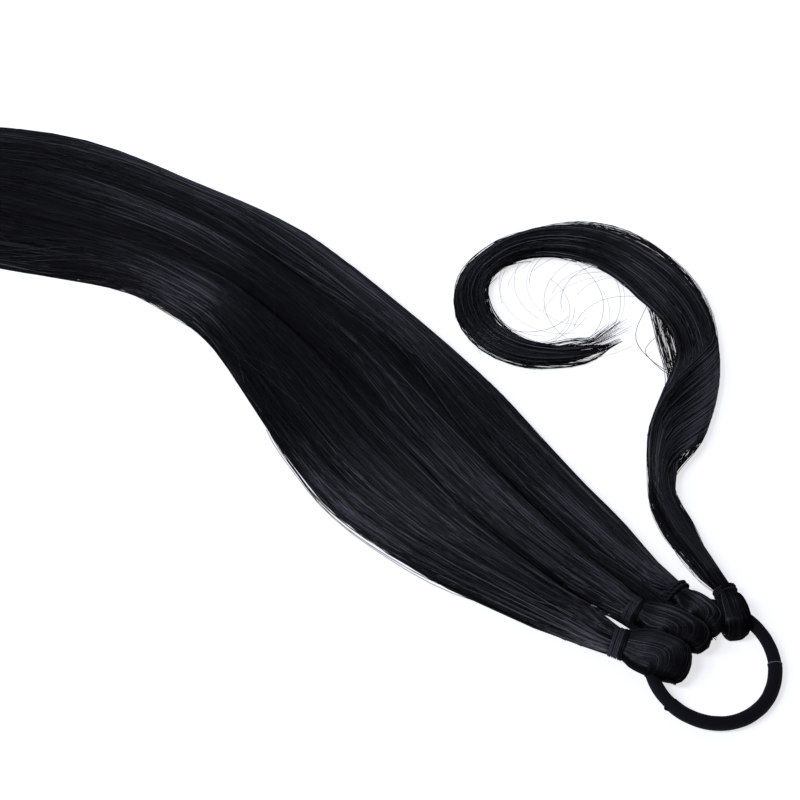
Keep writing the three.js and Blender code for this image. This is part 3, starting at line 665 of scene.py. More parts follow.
def strand_shares(count, start, end, rng):
    """Shares of 'count' points from start to end, spaced by the inverse of the point density; each
    strand's inner points are moved a little along, so that their bends don't line up."""
    fine = np.linspace(0, 1, 400)
    total = np.cumsum(np.interp(fine, POINT_DENSITY["share"], POINT_DENSITY["weight"]))
    total /= total[-1]
    first, last = np.interp(start, fine, total), np.interp(end, fine, total)
    t = np.linspace(0, 1, count)[None, :]
    shift = (rng.random((len(first), 1)) - 0.5) / (count - 1)
    t = clamp(t + shift * np.sqrt(np.sin(np.pi * t)))
    t[:, 0], t[:, -1] = 0, 1
    return np.interp(first[:, None] + (last - first)[:, None] * t, total, fine)


def hank_strands(index, count, points, thickness, seed):
    """Strands of one hank: half of them start inside the binding, the others rise out of the hair
    further along. They lie evenly across the hank, drawn together into locks by a slow noise, and drift
    a little across it; a few cross the rest on top. Each dives where it starts or ends."""
    rng = np.random.default_rng(seed)
    number = np.arange(count)[:, None]
    station = (rng.permutation(count) + rng.random(count)) / count
    edge = rng.random(count) < SIDE_STRANDS
    beside = np.where(rng.random(count) < 0.5, 0.03, 0.97) + 0.03 * rng.standard_normal(count)
    station = clamp(np.where(edge, beside, station))
    lock = np.clip((station * LOCKS_PER_HANK).astype(int), 0, LOCKS_PER_HANK - 1)
    tip = np.array(HANKS[index]["lock_ends"])[lock] - 0.006 - 0.10 * rng.random(count) ** 2.2
    rooted = rng.random(count) < ROOTED_STRANDS
    start = np.where(rooted, 0.0, 0.01 + 0.62 * rng.random(count))
    reach = np.where(rooted, 0.30 + 0.5 * rng.random(count), 0.22 + 0.3 * rng.random(count))
    end = np.minimum(start + reach, tip)
    share = strand_shares(points, start, end, rng)
    low, high, _ = lane(index, share)
    along = share * TAIL_LENGTH
    offset = mix(low, high, station[:, None])
    gather = (0.8 * streaks(offset / 4.0, along / 220, seed + 11)
              + 1.2 * streaks(offset / 10, along / 260, seed + 12))
    own = 0.35 * streaks(number * 3.7, along / 160, seed + 13)
    crossing = rng.random(count) < CROSSING_STRANDS
    drift = np.where(crossing, CROSSING_DRIFT, 1.0) * rng.standard_normal(count)
    way = (share - share[:, :1]) / (share[:, -1:] - share[:, :1])
    grow = ease(share / 0.12)
    moved = offset + (gather + own + drift[:, None] * (way - 0.5)) * grow
    spill = 0.5 + 1.1 * ease((share - 0.5) / 0.15)
    moved = clamp(moved, low - (spill if index > 0 else 0), high + (spill if index < len(HANKS) - 1 else 0))
    depth = rng.random(count)
    depth[crossing] = 1.25
    lift = (relief(moved, share, TAIL_SEED) + mix(*STRAND_HEIGHTS, depth)[:, None]
            + 0.16 * streaks(number * 5.1, along / 160, seed + 14))
    inner = np.full(share.shape, 99.0)
    if index > 0:
        inner = np.minimum(inner, np.abs(moved - low))
    if index < len(HANKS) - 1:
        inner = np.minimum(inner, np.abs(high - moved))
    valley = np.exp(-(inner / 2.0) ** 2) * ease(share / 0.04) * mix(1.0, 0.3, ease((share - 0.05) / 0.13))
    half = column(TAIL, "width", share) * TAIL_WIDTH / 2
    parting = parting_depth(share, moved, half)
    lift = (lift - PARTING_DIP * (valley + parting)) * ease(share / 0.03) + 0.05
    from_start, to_end = share - share[:, :1], share[:, -1:] - share
    dive = np.where(rooted[:, None], 0.0, 1 - ease(from_start / DIVE_SHARE))
    dive = dive + np.where((end < tip - 0.01)[:, None], 1 - ease(to_end / DIVE_SHARE), 0.0)
    lines = hank_point(index, share, moved, lift - STRAND_DIVE * dive)
    taper = 1 - 0.75 * ease((np.arange(points) / (points - 1) - 0.9) / 0.1)
    radius = thickness / 2 * (0.7 + 0.6 * rng.random(count))[:, None] * taper[None, :]
    # Shade: random tone per strand and in streaks, painted highlights and painted shade from the table of
    # areas, painted shade in the valleys between hanks and in the partings, and painted shade on strands that
    # lie lower.
    shade = (0.46 + 0.22 * streaks(offset / 1.5, along / 300, seed + 15)
             + 0.10 * streaks(offset / 9, along / 150, 77)
             + 0.38 * rng.standard_normal(count)[:, None] + 0.2 * (depth[:, None] - 0.6)
             + painted_light_areas(PAINTED_SHEEN_AND_SHADE, share, moved / half) - 0.25 * valley - 0.75 * parting)
    return lines, radius, shade


def hank_core(index, rows, columns):
    """The body of hair under the strands: the hank's own surface sunk a little, with its relief, closed
    underneath by a flat floor side. Columns run across the top and back along the underside. Returns
    its points and their UV."""
    row = HANKS[index]
    share = (np.linspace(0, 1, rows) ** 1.1 * 0.872)[:, None]
    station = (0.5 - 0.5 * np.cos(np.linspace(0, np.pi, columns)))[None, :]
    station = mix(station, np.linspace(0, 1, columns)[None, :], 0.6)
    low, high, _ = lane(index, share)
    sink = ease((share - 0.76) / 0.11)
    station = 0.5 + (station - 0.5) * (1 - 0.6 * sink ** 2) * 0.976
    offset = mix(low, high, station)
    grown = ease(share / 0.05)
    lift = relief(offset, share, TAIL_SEED) - 0.9 * grown - 0.3
    top = hank_point(index, share, offset, lift)
    top[..., 2] = np.maximum(top[..., 2] * (1 - 0.5 * sink), 0.1)
    back = top[:, ::-1][:, 1:-1][:, ::3]
    neck = neck_sizes(row)
    free = ease((share * TAIL_LENGTH - row["along"] * LOOP_LENGTH - 0.6) / 22)
    w = np.linspace(1, -1, back.shape[1] + 2)[1:-1][None, :]
    low_side = neck["lift"] + neck["half_height"] * (1 - np.sqrt(1 - w * w))
    under = back.copy()
    under[..., 2] = np.minimum(mix(low_side, 0.02, free), back[..., 2] - 0.02)
    width = np.concatenate([offset, offset[:, ::-1][:, 1:-1][:, ::3]], 1)
    uv = np.stack([width * CM, np.broadcast_to(share * TAIL_LENGTH * CM, width.shape)], -1)
    return np.concatenate([top, under], 1), uv


def loop_outline_turn(row):
    """The outline of a loop head as seen from the point that its hair turns round: direction and
    distance of the outline from above that point, round the nose, to the front side."""
    length = row["loop_length"] * LOOP_LENGTH
    a_c = row["turn_at"]
    out = np.linspace(a_c, 1, 300)
    a = np.concatenate([out, out[::-1][1:]])
    side = np.concatenate([np.ones(300), -np.ones(299)])
    half, _, _ = loop_outline(row, a)
    y = half * side * nose_closing(a)
    centre = np.array([a_c * length, -row["turn_out"] * loop_outline(row, np.array(a_c))[0]])
    dx, dy = a * length - centre[0], y - centre[1]
    angle = np.arctan2(dy, dx)
    last = int(np.argmin(np.maximum(angle, np.radians(4)))) + 1
    return centre, angle[:last][::-1], np.hypot(dx, dy)[:last][::-1]


# Each gap between the necks: the number of the hank at its back side, its middle, half the width to fill
# and the greatest height in millimetres, the share of the tail where its hair starts, the shares where it
# ends at the front side and at the back side, and how many strands it has.
NECK_GAPS = (
    ("back", (2, 0.59 * NECK_PITCH, 5.2, 7.5), -0.044, (0.10, 0.10), 380),
    ("front", (1, -0.36 * NECK_PITCH, 3.6, 5.5), -0.030, (-0.006, 0.003), 130),
    ("edge", (1, -0.26 * NECK_PITCH, 1.1, 4.0), -0.012, (0.020, 0.034), 60),
)


def gap_strands(gap, start, end, count, points, thickness, seed):
    """Hair low down between two necks, coloured darker as painted shade: from under the loops, beside both
    bindings, to where the two hanks meet. 'gap' and 'end' are as in NECK_GAPS; height is a low sine arch
    along the way."""
    rng = np.random.default_rng(seed)
    station = rng.random(count)[:, None]
    end = end[0] + (end[1] - end[0]) * station
    share = start + (end - start) * np.linspace(0, 1, points)[None, :]
    share = share + 0.0015 * rng.standard_normal((count, 1))
    number, middle, width, top = gap
    low, _, _ = lane(number, np.maximum(share, 0))
    point, heading = tail_place(np.maximum(share, 0))
    point = point + direction(heading) * (np.minimum(share, 0) * TAIL_LENGTH)[..., None]
    offset = mix(middle, low, ease((share + 0.005) / 0.06)) + (station * 2 - 1) * width
    height = top * (0.5 + 0.5 * rng.random((count, 1))) * (1 - 0.5 * (station * 2 - 1) ** 2)
    way = (share - share[:, :1]) / (share[:, -1:] - share[:, :1])
    height = height * np.sin(np.pi * mix(0.30, 0.88, way)) ** 0.6
    plan = point + across(heading) * offset[..., None]
    lines = np.concatenate([plan, np.maximum(height, 0.3)[..., None]], -1)
    radius = np.broadcast_to(thickness / 2 * (0.8 + 0.6 * rng.random((count, 1))), lines.shape[:2])
    # Painted shade: these strands are darker than the tail's.
    shade = np.broadcast_to(clamp(0.3 + 0.15 * rng.standard_normal((count, 1))), lines.shape[:2])
    return lines, radius, shade


# Loose hairs of the tail: where each kind starts and ends along it, its places across it there, from -1 to
# 1, its height over the hair, how many there are and how far they spread across. Those past the tail's
# edge lie beside it, and their negative height hides what comes inside.
STRAYS = table_of("start end from to lift count spread", [
    (0.340, 0.420, -0.80, -0.10, 0.9, 1, 0.0),
    (0.355, 0.445, -1.00, -0.62, 0.8, 1, 0.0),
    (0.300, 0.420, -0.55, -0.95, 0.9, 2, 0.06),
    (0.200, 0.260, 0.10, 0.28, 0.9, 1, 0.0),
    (0.215, 0.300, 0.35, 0.05, 0.9, 1, 0.0),
    (0.640, 0.720, -0.98, -0.45, 0.8, 2, 0.06),
    (0.560, 0.700, -0.70, -0.92, 0.8, 4, 0.1),
    (0.450, 0.560, -0.35, -0.75, 0.8, 5, 0.15),
    (0.060, 0.300, -0.60, -0.75, 0.7, 8, 0.25),
    (0.100, 0.330, 0.05, 0.20, 0.7, 8, 0.25),
    (0.050, 0.260, 0.60, 0.45, 0.7, 6, 0.20),
    (0.140, 0.330, -1.015, -1.03, -5.0, 20, 0.020),
    (0.020, 0.150, -1.01, -1.01, -5.0, 7, 0.020),
    (0.440, 0.560, -1.02, -1.01, -5.0, 14, 0.020),
    (0.560, 0.740, -1.01, -1.01, -4.0, 5, 0.020),
    (0.600, 0.720, 0.30, 0.55, 0.7, 4, 0.15),
])


def stray_hairs(points, thickness, seed):
    """Single loose hairs of the tail, each bowed a little between its two ends."""
    rng = np.random.default_rng(seed)
    which = np.repeat(np.arange(len(STRAYS["start"])), STRAYS["count"].astype(int))
    count = len(which)
    loose = np.where(STRAYS["spread"][which] > 0, 0.02, 0.0)
    start = STRAYS["start"][which] + loose * rng.standard_normal(count)
    end = STRAYS["end"][which] + loose * rng.standard_normal(count)
    t = np.linspace(0, 1, points)[None, :]
    share = start[:, None] + (end - start)[:, None] * t
    shift = STRAYS["spread"][which] * rng.standard_normal(count)
    first, last = STRAYS["from"][which] + shift, STRAYS["to"][which] + shift
    half = column(TAIL, "width", share) * TAIL_WIDTH / 2
    bow = 0.03 * np.sin(np.pi * t) * rng.standard_normal(count)[:, None]
    offset = (mix(first[:, None], last[:, None], t) + bow) * half
    rim = 0.985 * half
    inside = clamp(offset, -rim, rim)
    top = tail_surface(share, inside)
    lift = STRAYS["lift"][which][:, None]
    edge = np.abs(offset) > rim
    on_hair = top + relief(inside, share, TAIL_SEED) + lift
    z = np.where(edge, 4.5 + 2.5 * rng.standard_normal((count, 1)), on_hair)
    dive = 2.0 * (1 - np.sin(np.pi * t) ** 0.5)
    point, heading = tail_place(share)
    plan = point + across(heading) * (offset - np.sign(offset) * edge * dive)[..., None]
    lines = np.concatenate([plan, np.maximum(z - np.where(edge, 0, 0.6) * dive, 0.3)[..., None]], -1)
    radius = thickness / 2 * (0.60 + 0.25 * rng.random(count))[:, None] * np.ones_like(t)
    # Painted highlight: hairs lying on the tail take the lightest shade, as lone hairs there catch the light;
    # those beside it a middle one.
    shade = np.where(edge, 0.5, 1.0) * np.ones_like(share)
    return lines, radius, shade


def turning_strands(row, centre_plan, count, points, thickness, seed):
    """Strands over a loop head that turns down to the front: each runs from the binding to the point
    above the turning centre, then round it as a smaller copy of the head's outline, to the front side
    and under it."""
    rng = np.random.default_rng(seed)
    rho = (rng.permutation(count) + rng.random(count)) / count
    rho = mix(0.08, 1.0, rho ** 0.82)
    centre, angle, reach = loop_outline_turn(row)
    length = row["loop_length"] * LOOP_LENGTH
    half_c = loop_outline(row, np.array(row["turn_at"]))[0]
    neck = neck_sizes(row)
    t = np.linspace(0, 1, points)[None, :]
    straight = 0.34
    before = t < straight
    s = clamp(t / straight)
    wave = 0.03 * streaks(rho[:, None] * 11, t * 2.2, seed + 1)
    ratio = clamp(rho[:, None] + wave * ease(t / 0.3), 0.03, 1.0)
    y_above = centre[1] + ratio * (half_c - centre[1])
    psi = mix(np.pi / 2, angle[0] + 0.02, clamp((t - straight) / (1 - straight - 0.07)))
    far = np.interp(psi, angle, reach) * ratio
    x = np.where(before, s * centre[0], centre[0] + far * np.cos(psi))
    y = np.where(before, mix((rho[:, None] * 2 - 1) * neck["half_width"], y_above, ease(s * 1.15)),
                 centre[1] + far * np.sin(psi))
    under_way = clamp((t - 0.93) / 0.07)
    a = clamp(x / length, 0.0, 1.0)
    half, under, top = loop_outline(row, a)
    half = half * nose_closing(a, 1e-3)
    y = clamp(y, -0.995 * half, 0.995 * half)
    bulge = np.sqrt(np.maximum(1 - (y / half) ** 2, 0))
    middle = (under + top) / 2
    depth = rng.random(count)[:, None]
    lift = mix(-0.55, 0.14, depth) + 0.34 * streaks(ratio * 13, t * 0.9, seed + 2) * ease(t / 0.2)
    z = middle + (top - middle + lift) * bulge
    z = mix(z, middle * 0.55, under_way)
    y = y + under_way * 0.8
    origin, ahead, side = loop_frame(row, centre_plan)
    outward_x = ahead * (a ** 3 * 0.35)[..., None] + side * (y / half)[..., None]
    plan = origin + ahead * x[..., None] + side * y[..., None]
    plan = plan + outward_x * (lift * (1 - bulge) * 0.9)[..., None]
    lines = np.concatenate([plan, np.maximum(z, 0.15)[..., None]], -1)
    up = np.concatenate([outward_x, (0.25 + 0.9 * bulge)[..., None]], -1)
    radius = thickness / 2 * (0.7 + 0.6 * rng.random(count))[:, None]
    # Shade: random tone, a painted sheen band part way along each strand, painted shade towards the nose and
    # under it and near the binding, and lower strands painted darker.
    shade = (0.36 + 0.20 * streaks(rho[:, None] * 26, t * 1.2, seed + 3)
             + 0.34 * rng.standard_normal(count)[:, None] + 0.15 * (depth - 0.5)
             + 0.28 * np.exp(-((t - 0.47) / 0.18) ** 2) - 0.40 * ease((t - 0.66) / 0.25)
             - 0.12 * np.exp(-(t / 0.16) ** 2))
    return lines, np.broadcast_to(radius, lines.shape[:2]), shade, up


def bump_between(share, start, peak, end):
    """0 outside start…end, 1 at the peak, smooth between."""
    return ease((share - start) / (peak - start)) * ease((end - share) / (end - peak))


def dense_span(share):
    """The part of the wrap lock's width that is dense: from −1…1 drawn in where only a few loose
    strands fill the outline."""
    inner = -1 + 0.42 * bump_between(share, 0.285, 0.355, 0.47) + 0.22 * bump_between(share, 0.72, 0.82, 0.93)
    outer = 1 - 0.62 * bump_between(share, 0.150, 0.215, 0.285) - 0.20 * bump_between(share, 0.43, 0.53, 0.64)
    return inner, outer


# Loop heads

def nose_closing(along, least=0.0):
    """Share of the half-width that is left at a loop's nose: a quarter circle over its last part."""
    return np.sqrt(np.maximum(1 - clamp((along - NOSE_START) / (1 - NOSE_START)) ** 2, least))


def loop_frame(row, centre):
    """A loop's own directions: along its heading, and across it with its sign turned as in the part."""
    ahead = direction(row["loop_heading"])
    return np.array(centre), ahead, across(row["loop_heading"] + 180)


def loop_outline(row, along):
    """Half-width, underside and top of a loop at shares of its length from the binding to the tip."""
    half = column(LOOP, "width", along, "along") * row["loop_width"] * NECK_PITCH / 2
    under = column(LOOP, "under", along, "along") * LOOP_HEIGHT
    top = column(LOOP, "top", along, "along") * LOOP_HEIGHT
    neck = neck_sizes(row)
    near = ease(along / 0.2)
    half = mix(neck["half_width"], half, near)
    under = mix(neck["lift"], under, near)
    top = mix(neck["lift"] + 2 * neck["half_height"], top, near)
    return half, under, top


def loop_surface(row, centre, rows, columns, sink):
    """A loop head's surface: round sections, widest half-way up, along the loop; its grooves follow
    the hair over its top and round its nose."""
    t = np.linspace(0, 1, rows)
    along = (1 - (1 - t) ** 2)[:, None]
    angle = (np.arange(columns) / columns * 2 * np.pi)[None, :]
    half, under, top = loop_outline(row, along)
    closing = nose_closing(along)
    middle = (under + top) / 2
    y = (half - sink) * np.cos(angle) * closing
    bulge = np.abs(np.sin(angle))
    up = (top - middle - sink) * bulge
    down = -(middle - under - sink * 0.5) * np.minimum(LOOP_FLATNESS * bulge, 1)
    z = middle + np.where(np.sin(angle) > 0, up, down) * closing
    origin, ahead, side = loop_frame(row, centre)
    length = row["loop_length"] * LOOP_LENGTH - sink
    plan = origin + ahead * (along * length)[..., None] * np.ones_like(y)[..., None] + side * y[..., None]
    ring = np.concatenate([plan, z[..., None]], -1)
    uv = np.stack([y * CM, np.broadcast_to(along * length * CM, y.shape)], -1)
    return ring, uv


def loop_strands(row, centre, count, points, thickness, seed):
    """Strands over a loop head. Each keeps its distance across the loop, w × the half-width, and sweeps
    to one side towards the nose; where it meets the outline it turns down and back underneath. Height is
    middle + (top − middle) × √(1 − (y / half)²)."""
    rng = np.random.default_rng(seed)
    w = (rng.permutation(count) + rng.random(count)) / count * 2 - 1
    w = np.sign(w) * np.abs(w) ** 0.9 * 0.985
    fine = np.linspace(0.0, 1.0, 240)
    half, _, _ = loop_outline(row, fine)
    widest = int(np.argmax(half))
    keep = np.where(np.arange(240) < widest, half, half[widest])
    own = 0.06 * rng.standard_normal(count)
    sweep = row["sweep"] * ((fine - 0.30) / 0.70).clip(0) ** 1.8 * half[widest]
    wave = 0.05 * streaks(w[:, None] * 9, fine[None, :] * 3, seed + 1) * ease(fine / 0.3)[None, :]
    y = (w[:, None] + wave) * keep[None, :] - (1 + own[:, None]) * sweep[None, :]
    edge = half * nose_closing(fine)
    outside = (np.abs(y) >= 0.992 * edge[None, :]) & (fine[None, :] > 0.25)
    outside[:, -1] = True
    last = fine[np.argmax(outside, 1)]
    p = np.linspace(0, 1, points)[None, :] * 1.3
    before = p <= 1
    back = np.where(before, 1 - p, p - 1)
    along = last[:, None] * (1 - back ** 2)
    rows = np.arange(count)[:, None]
    place = along * 239
    i = np.minimum(place.astype(int), 238)
    t = place - i
    y = y[rows, i] * (1 - t) + y[rows, i + 1] * t
    half, under, top = loop_outline(row, along)
    half = half * nose_closing(along, 1e-4)
    y = clamp(y, -0.995 * half, 0.995 * half)
    bulge = np.sqrt(np.maximum(1 - (y / half) ** 2, 0))
    middle = (under + top) / 2
    depth = rng.random(count)[:, None]
    lift = mix(-0.45, 0.12, depth) + 0.22 * streaks(w[:, None] * 14, along * 2.5, seed + 2)
    z = np.where(before, middle + (top - middle + lift) * bulge,
                 middle - (middle - under) * np.minimum(LOOP_FLATNESS * bulge, 1))
    origin, ahead, side = loop_frame(row, centre)
    length = row["loop_length"] * LOOP_LENGTH
    grow = lift * (1 - bulge) * 0.8
    reach = along * length + np.where(along > 0.5, grow, 0)
    plan = origin + ahead * reach[..., None] + side * y[..., None]
    lines = np.concatenate([plan, np.maximum(z, 0.15)[..., None]], -1)
    outwards = ahead * (0.6 * along ** 3)[..., None] + side * (y / (half + 1e-6) * 0.9)[..., None]
    upwards = np.where(before, 0.8, -0.8)[..., None] * np.ones_like(y)[..., None]
    up = np.concatenate([outwards, upwards], -1)
    radius = thickness / 2 * (0.75 + 0.5 * rng.random(count))[:, None]
    # Shade: random tone, with painted shade growing towards the loop's nose.
    shade = (0.36 + 0.22 * streaks(w[:, None] * 16, along * 1.5, seed + 3)
             + 0.30 * rng.standard_normal(count)[:, None] - 0.2 * ease((along - 0.5) / 0.4))
    return lines, np.broadcast_to(radius, lines.shape[:2]), shade, up


# Wrap lock

def wrap_sizes(share):
    """Half-width, base, waist and crown heights of the wrap lock."""
    half = column(WRAP, "width", share) * WRAP_WIDTH / 2
    height = column(WRAP, "height", share) * WRAP_HEIGHT
    base = neck_sizes(WRAP_PLACE)["lift"] * clamp(1 - (share - 0.04) / 0.05)
    waist = base + WRAP_WAIST * height
    return half, base, waist, (1 - WRAP_WAIST) * height


def wrap_point(share, station, lift):
    """A point on the wrap lock: w is −1 on the side inside its curl and 1 outside it, the height is
    waist + crown × √(1 − w²) + lift."""
    share, station = np.broadcast_arrays(np.asarray(share, float), np.asarray(station, float))
    half, _, waist, crown = wrap_sizes(share)
    w = station * 2 - 1
    bulge = np.sqrt(np.maximum(1 - w * w, 0))
    z = waist + crown * bulge + lift
    point, heading = wrap_place(share)
    plan = point + across(heading) * (w * half)[..., None]
    return np.concatenate([plan, np.maximum(z, 0.12)[..., None]], -1)


def wrap_relief(station, share, seed):
    """Locks of hair along the wrap lock, about 3 and 1.2 mm wide."""
    half = wrap_sizes(share)[0]
    y = (station * 2 - 1) * half
    along = share * WRAP_LENGTH
    return 0.4 * streaks(y / 3.0, along / 90, seed) + 0.22 * streaks(y / 1.2, along / 60, seed + 1)


# Painted highlights and painted shade on the wrap lock, as soft areas like the tail's; across it, -1 is the
# side inside its curl.
WRAP_PAINTED_SHEEN_AND_SHADE = table_of("share across long wide amount", [
    (0.50, 0.20, 0.055, 0.70, 0.26),
    (0.43, 0.60, 0.045, 0.45, 0.18),
    (0.552, -0.20, 0.026, 0.70, -0.42),
    (0.61, 0.00, 0.025, 0.90, 0.22),
    (0.47, -0.70, 0.050, 0.40, 0.22),
    (0.66, 0.00, 0.040, 0.90, 0.08),
    (0.73, 0.60, 0.030, 0.60, 0.20),
    (0.80, 0.30, 0.045, 0.90, -0.36),
    (0.29, 0.70, 0.070, 0.60, 0.90),
    (0.22, 0.70, 0.040, 0.50, 0.50),
    (0.335, 0.00, 0.025, 0.90, 0.40),
    (0.26, 0.00, 0.060, 0.40, 0.20),
    (0.17, -0.65, 0.055, 0.40, 0.30),
    (0.07, 0.30, 0.035, 1.00, -0.30),
    (0.262, 0.15, 0.018, 0.50, -0.24),
    (0.357, -0.20, 0.016, 0.60, -0.22),
    (0.435, -0.55, 0.030, 0.50, 0.24),
    (0.544, -0.50, 0.014, 0.50, -0.14),
    (0.627, -0.70, 0.016, 0.50, 0.22),
    (0.576, 0.65, 0.022, 0.40, 0.22),
    (0.295, -0.80, 0.030, 0.30, 0.42),
    (0.36, -0.50, 0.030, 0.50, -0.20),
    (0.93, 0.00, 0.060, 1.00, 0.34),
])


def wrap_strands(count, points, thickness, seed):
    """Strands that run along the wrap lock, part of its length each, evenly over its dense width; the
    last ones spread at its tip."""
    rng = np.random.default_rng(seed)
    number = np.arange(count)[:, None]
    station = (rng.permutation(count) + rng.random(count)) / count
    kind = rng.random(count)
    rooted = kind < 0.34
    start = np.where(rooted, 0.0, 0.08 + 0.66 * rng.random(count))
    end = np.minimum(start + 0.32 + 0.1 * rng.random(count), 1.02 - 0.08 * rng.random(count) ** 1.5)
    t = np.linspace(0, 1, points)[None, :]
    share = start[:, None] + (end - start)[:, None] * t
    along = share * WRAP_LENGTH
    half = wrap_sizes(share)[0]
    inner, outer = dense_span(share)
    gather = (0.7 * streaks(station[:, None] * 5, along / 110, seed + 1)
              + 0.5 * streaks(number * 2.3, along / 80, seed + 2))
    drift = 1.0 * rng.standard_normal((count, 1)) * (t - 0.5)
    w = mix(inner, outer, station[:, None]) + (gather + drift) / half * ease(share / 0.1)
    w = clamp(w, inner - 0.03, outer + 0.03)
    depth = rng.random(count)[:, None]
    low_part = ease((share - 0.16) / 0.04) * (1 - ease((share - 0.36) / 0.05))
    own = wrap_relief(w / 2 + 0.5, share, WRAP_SEED) + mix(-0.55, 0.22, depth)
    lift = own * ease(share / 0.05) - low_part
    dive = np.where(rooted[:, None], 0.0, 1 - ease((share - share[:, :1]) / 0.04))
    dive = dive + np.where((end < 0.925)[:, None], 1 - ease((share[:, -1:] - share) / 0.04), 0.0)
    spread = 1 + 0.6 * ease((share - 0.93) / 0.07)
    lines = wrap_point(share, 0.5 + w * spread / 2, lift - 1.3 * dive)
    taper = 1 - 0.7 * ease((t - 0.88) / 0.12)
    radius = thickness / 2 * (0.7 + 0.6 * rng.random(count))[:, None] * taper
    # Shade: random tone, painted highlights and shade from the wrap's table of areas, and lower strands
    # painted darker.
    shade = (0.46 + 0.22 * streaks(station[:, None] * 14, along / 150, seed + 3)
             + painted_light_areas(WRAP_PAINTED_SHEEN_AND_SHADE, share, w)
             + 0.32 * rng.standard_normal(count)[:, None] + 0.2 * (depth - 0.5))
    return lines, radius, shade


def fan_strands(count, points, thickness, seed):
    """The fan at the twist: strands leave the neck side by side, keep left, then cross one after another
    to the right edge, fold over it and go under. Strand k (0 to 1) reaches the edge at 0.245 + 0.143k
    of the lock's length and starts to cross 0.115 + 0.010k before that."""
    rng = np.random.default_rng(seed)
    k = ((rng.permutation(count) + rng.random(count)) / count) ** 0.85
    first = mix(0.60, 0.02, k)
    arrive = mix(0.245, 0.388, k) + 0.005 * rng.standard_normal(count)
    leave = arrive - mix(0.115, 0.125, k)
    t = np.linspace(0, 1.14, points)[None, :]
    share = arrive[:, None] * np.minimum(t, 1) ** 0.8 + 0.03 * np.maximum(t - 1, 0)
    cross = ease((share - leave[:, None]) / (arrive - leave)[:, None])
    along = share * WRAP_LENGTH
    sway = 0.05 * streaks(k[:, None] * 12, along / 60, seed + 1) * ease(share / 0.1)
    w = mix(first[:, None] * 2 - 1, 1.0, cross ** 1.1) + sway * (1 - cross)
    w = np.where(t > 1, 1 - 1.6 * (t - 1), clamp(w, -1.0, 1.0))
    raised = ease((share - 0.10) / 0.10)
    depth = rng.random(count)[:, None]
    lift = ((mix(-0.3, 0.9, depth) + 0.5 * streaks(k[:, None] * 10, along / 90, seed + 2)) * raised
            + mix(-0.45, 0.15, depth) * (1 - raised))
    half, base, waist, crown = wrap_sizes(share)
    bulge = np.sqrt(np.maximum(1 - w * w, 0))
    over = waist + crown * bulge + lift * np.maximum(bulge, 0.3)
    under = waist - (waist - base) * np.minimum(LOOP_FLATNESS * bulge, 1)
    z = np.where(t > 1, under, over)
    point, heading = wrap_place(share)
    reach = half * w + 0.35 * lift * ease((w - 0.2) / 0.8)
    plan = point + across(heading) * reach[..., None]
    lines = np.concatenate([plan, np.maximum(z, 0.15)[..., None]], -1)
    radius = thickness / 2 * (0.7 + 0.6 * rng.random(count))[:, None]
    # Shade: random tone, with painted highlights and painted shade from the wrap's table of areas.
    shade = (0.46 + 0.22 * streaks(k[:, None] * 26, along / 150, seed + 3) + painted_light_areas(WRAP_PAINTED_SHEEN_AND_SHADE, share, w)
             + 0.32 * rng.standard_normal(count)[:, None])
    return lines, np.broadcast_to(radius, lines.shape[:2]), shade


def wrap_core(rows, columns):
    """The body of hair under the wrap lock's strands: a round section with flattened underside over its
    dense width, thinner under the fan and towards the tip. Returns its points and their UV."""
    share = np.linspace(0.0, 0.985, rows)[:, None]
    angle = (np.arange(columns) / columns * 2 * np.pi)[None, :]
    half, base, waist, crown = wrap_sizes(share)
    inner, outer = dense_span(share)
    outer = outer - 0.25 * bump_between(share, 0.14, 0.21, 0.29)
    shrink = 0.86 - 0.35 * ease((share - 0.9) / 0.1)
    w = (inner + outer) / 2 + np.cos(angle) * (outer - inner) / 2 * shrink
    bulge = np.abs(np.sin(angle)) * np.sqrt(np.maximum(1 - ((inner + outer) / 2) ** 2, 0))
    thin = 1 - 0.45 * ease((share - 0.16) / 0.06) * (1 - ease((share - 0.31) / 0.05))
    groove = wrap_relief(0.5 + w / 2, share, WRAP_SEED)
    z = np.where(np.sin(angle) > 0, waist + (crown * bulge * thin - 0.8 + groove * 0.8) * bulge,
                 waist - (waist - base - 0.1) * np.minimum(LOOP_FLATNESS * bulge, 1))
    point, heading = wrap_place(share)
    plan = point + across(heading) * (w * half)[..., None]
    ring = np.concatenate([plan, np.maximum(z, 0.05)[..., None]], -1)
    uv = np.stack([w * half * CM, np.broadcast_to(share * WRAP_LENGTH * CM, w.shape)], -1)
    return ring, uv


# Loose strands beside the wrap lock: where they start and end along it, how far across they bow, in
# half-widths (negative on the side inside the curl), how much that varies, how many there are, how high
# they lie and the place across the lock that they leave.
WISPS = table_of("start end bow spread count height rest", [
    (0.430, 0.650, 1.08, 0.03, 18, 3.0, 0.80),
    (0.270, 0.460, -0.86, 0.30, 62, 2.6, -0.50),
    (0.290, 0.430, -1.78, 0.10, 2, 2.0, -0.60),
    (0.700, 0.930, -0.95, 0.20, 34, 2.6, -0.70),
    (0.890, 1.000, -2.40, 1.70, 36, 2.4, -0.60),
    (0.150, 0.310, 0.93, 0.14, 24, 4.0, 0.45),
    (0.150, 0.290, 0.74, 0.20, 16, 4.0, 0.30),
    (0.010, 0.160, -1.15, 0.40, 110, 4.5, -0.80),
    (0.005, 0.085, -1.62, 0.12, 16, 4.0, -0.80),
    (0.640, 0.800, 1.10, 0.12, 16, 2.6, 0.80),
    (0.330, 0.600, 1.04, 0.06, 26, 3.2, 0.80),
    (0.040, 0.160, 1.15, 0.15, 24, 4.2, 0.70),
])


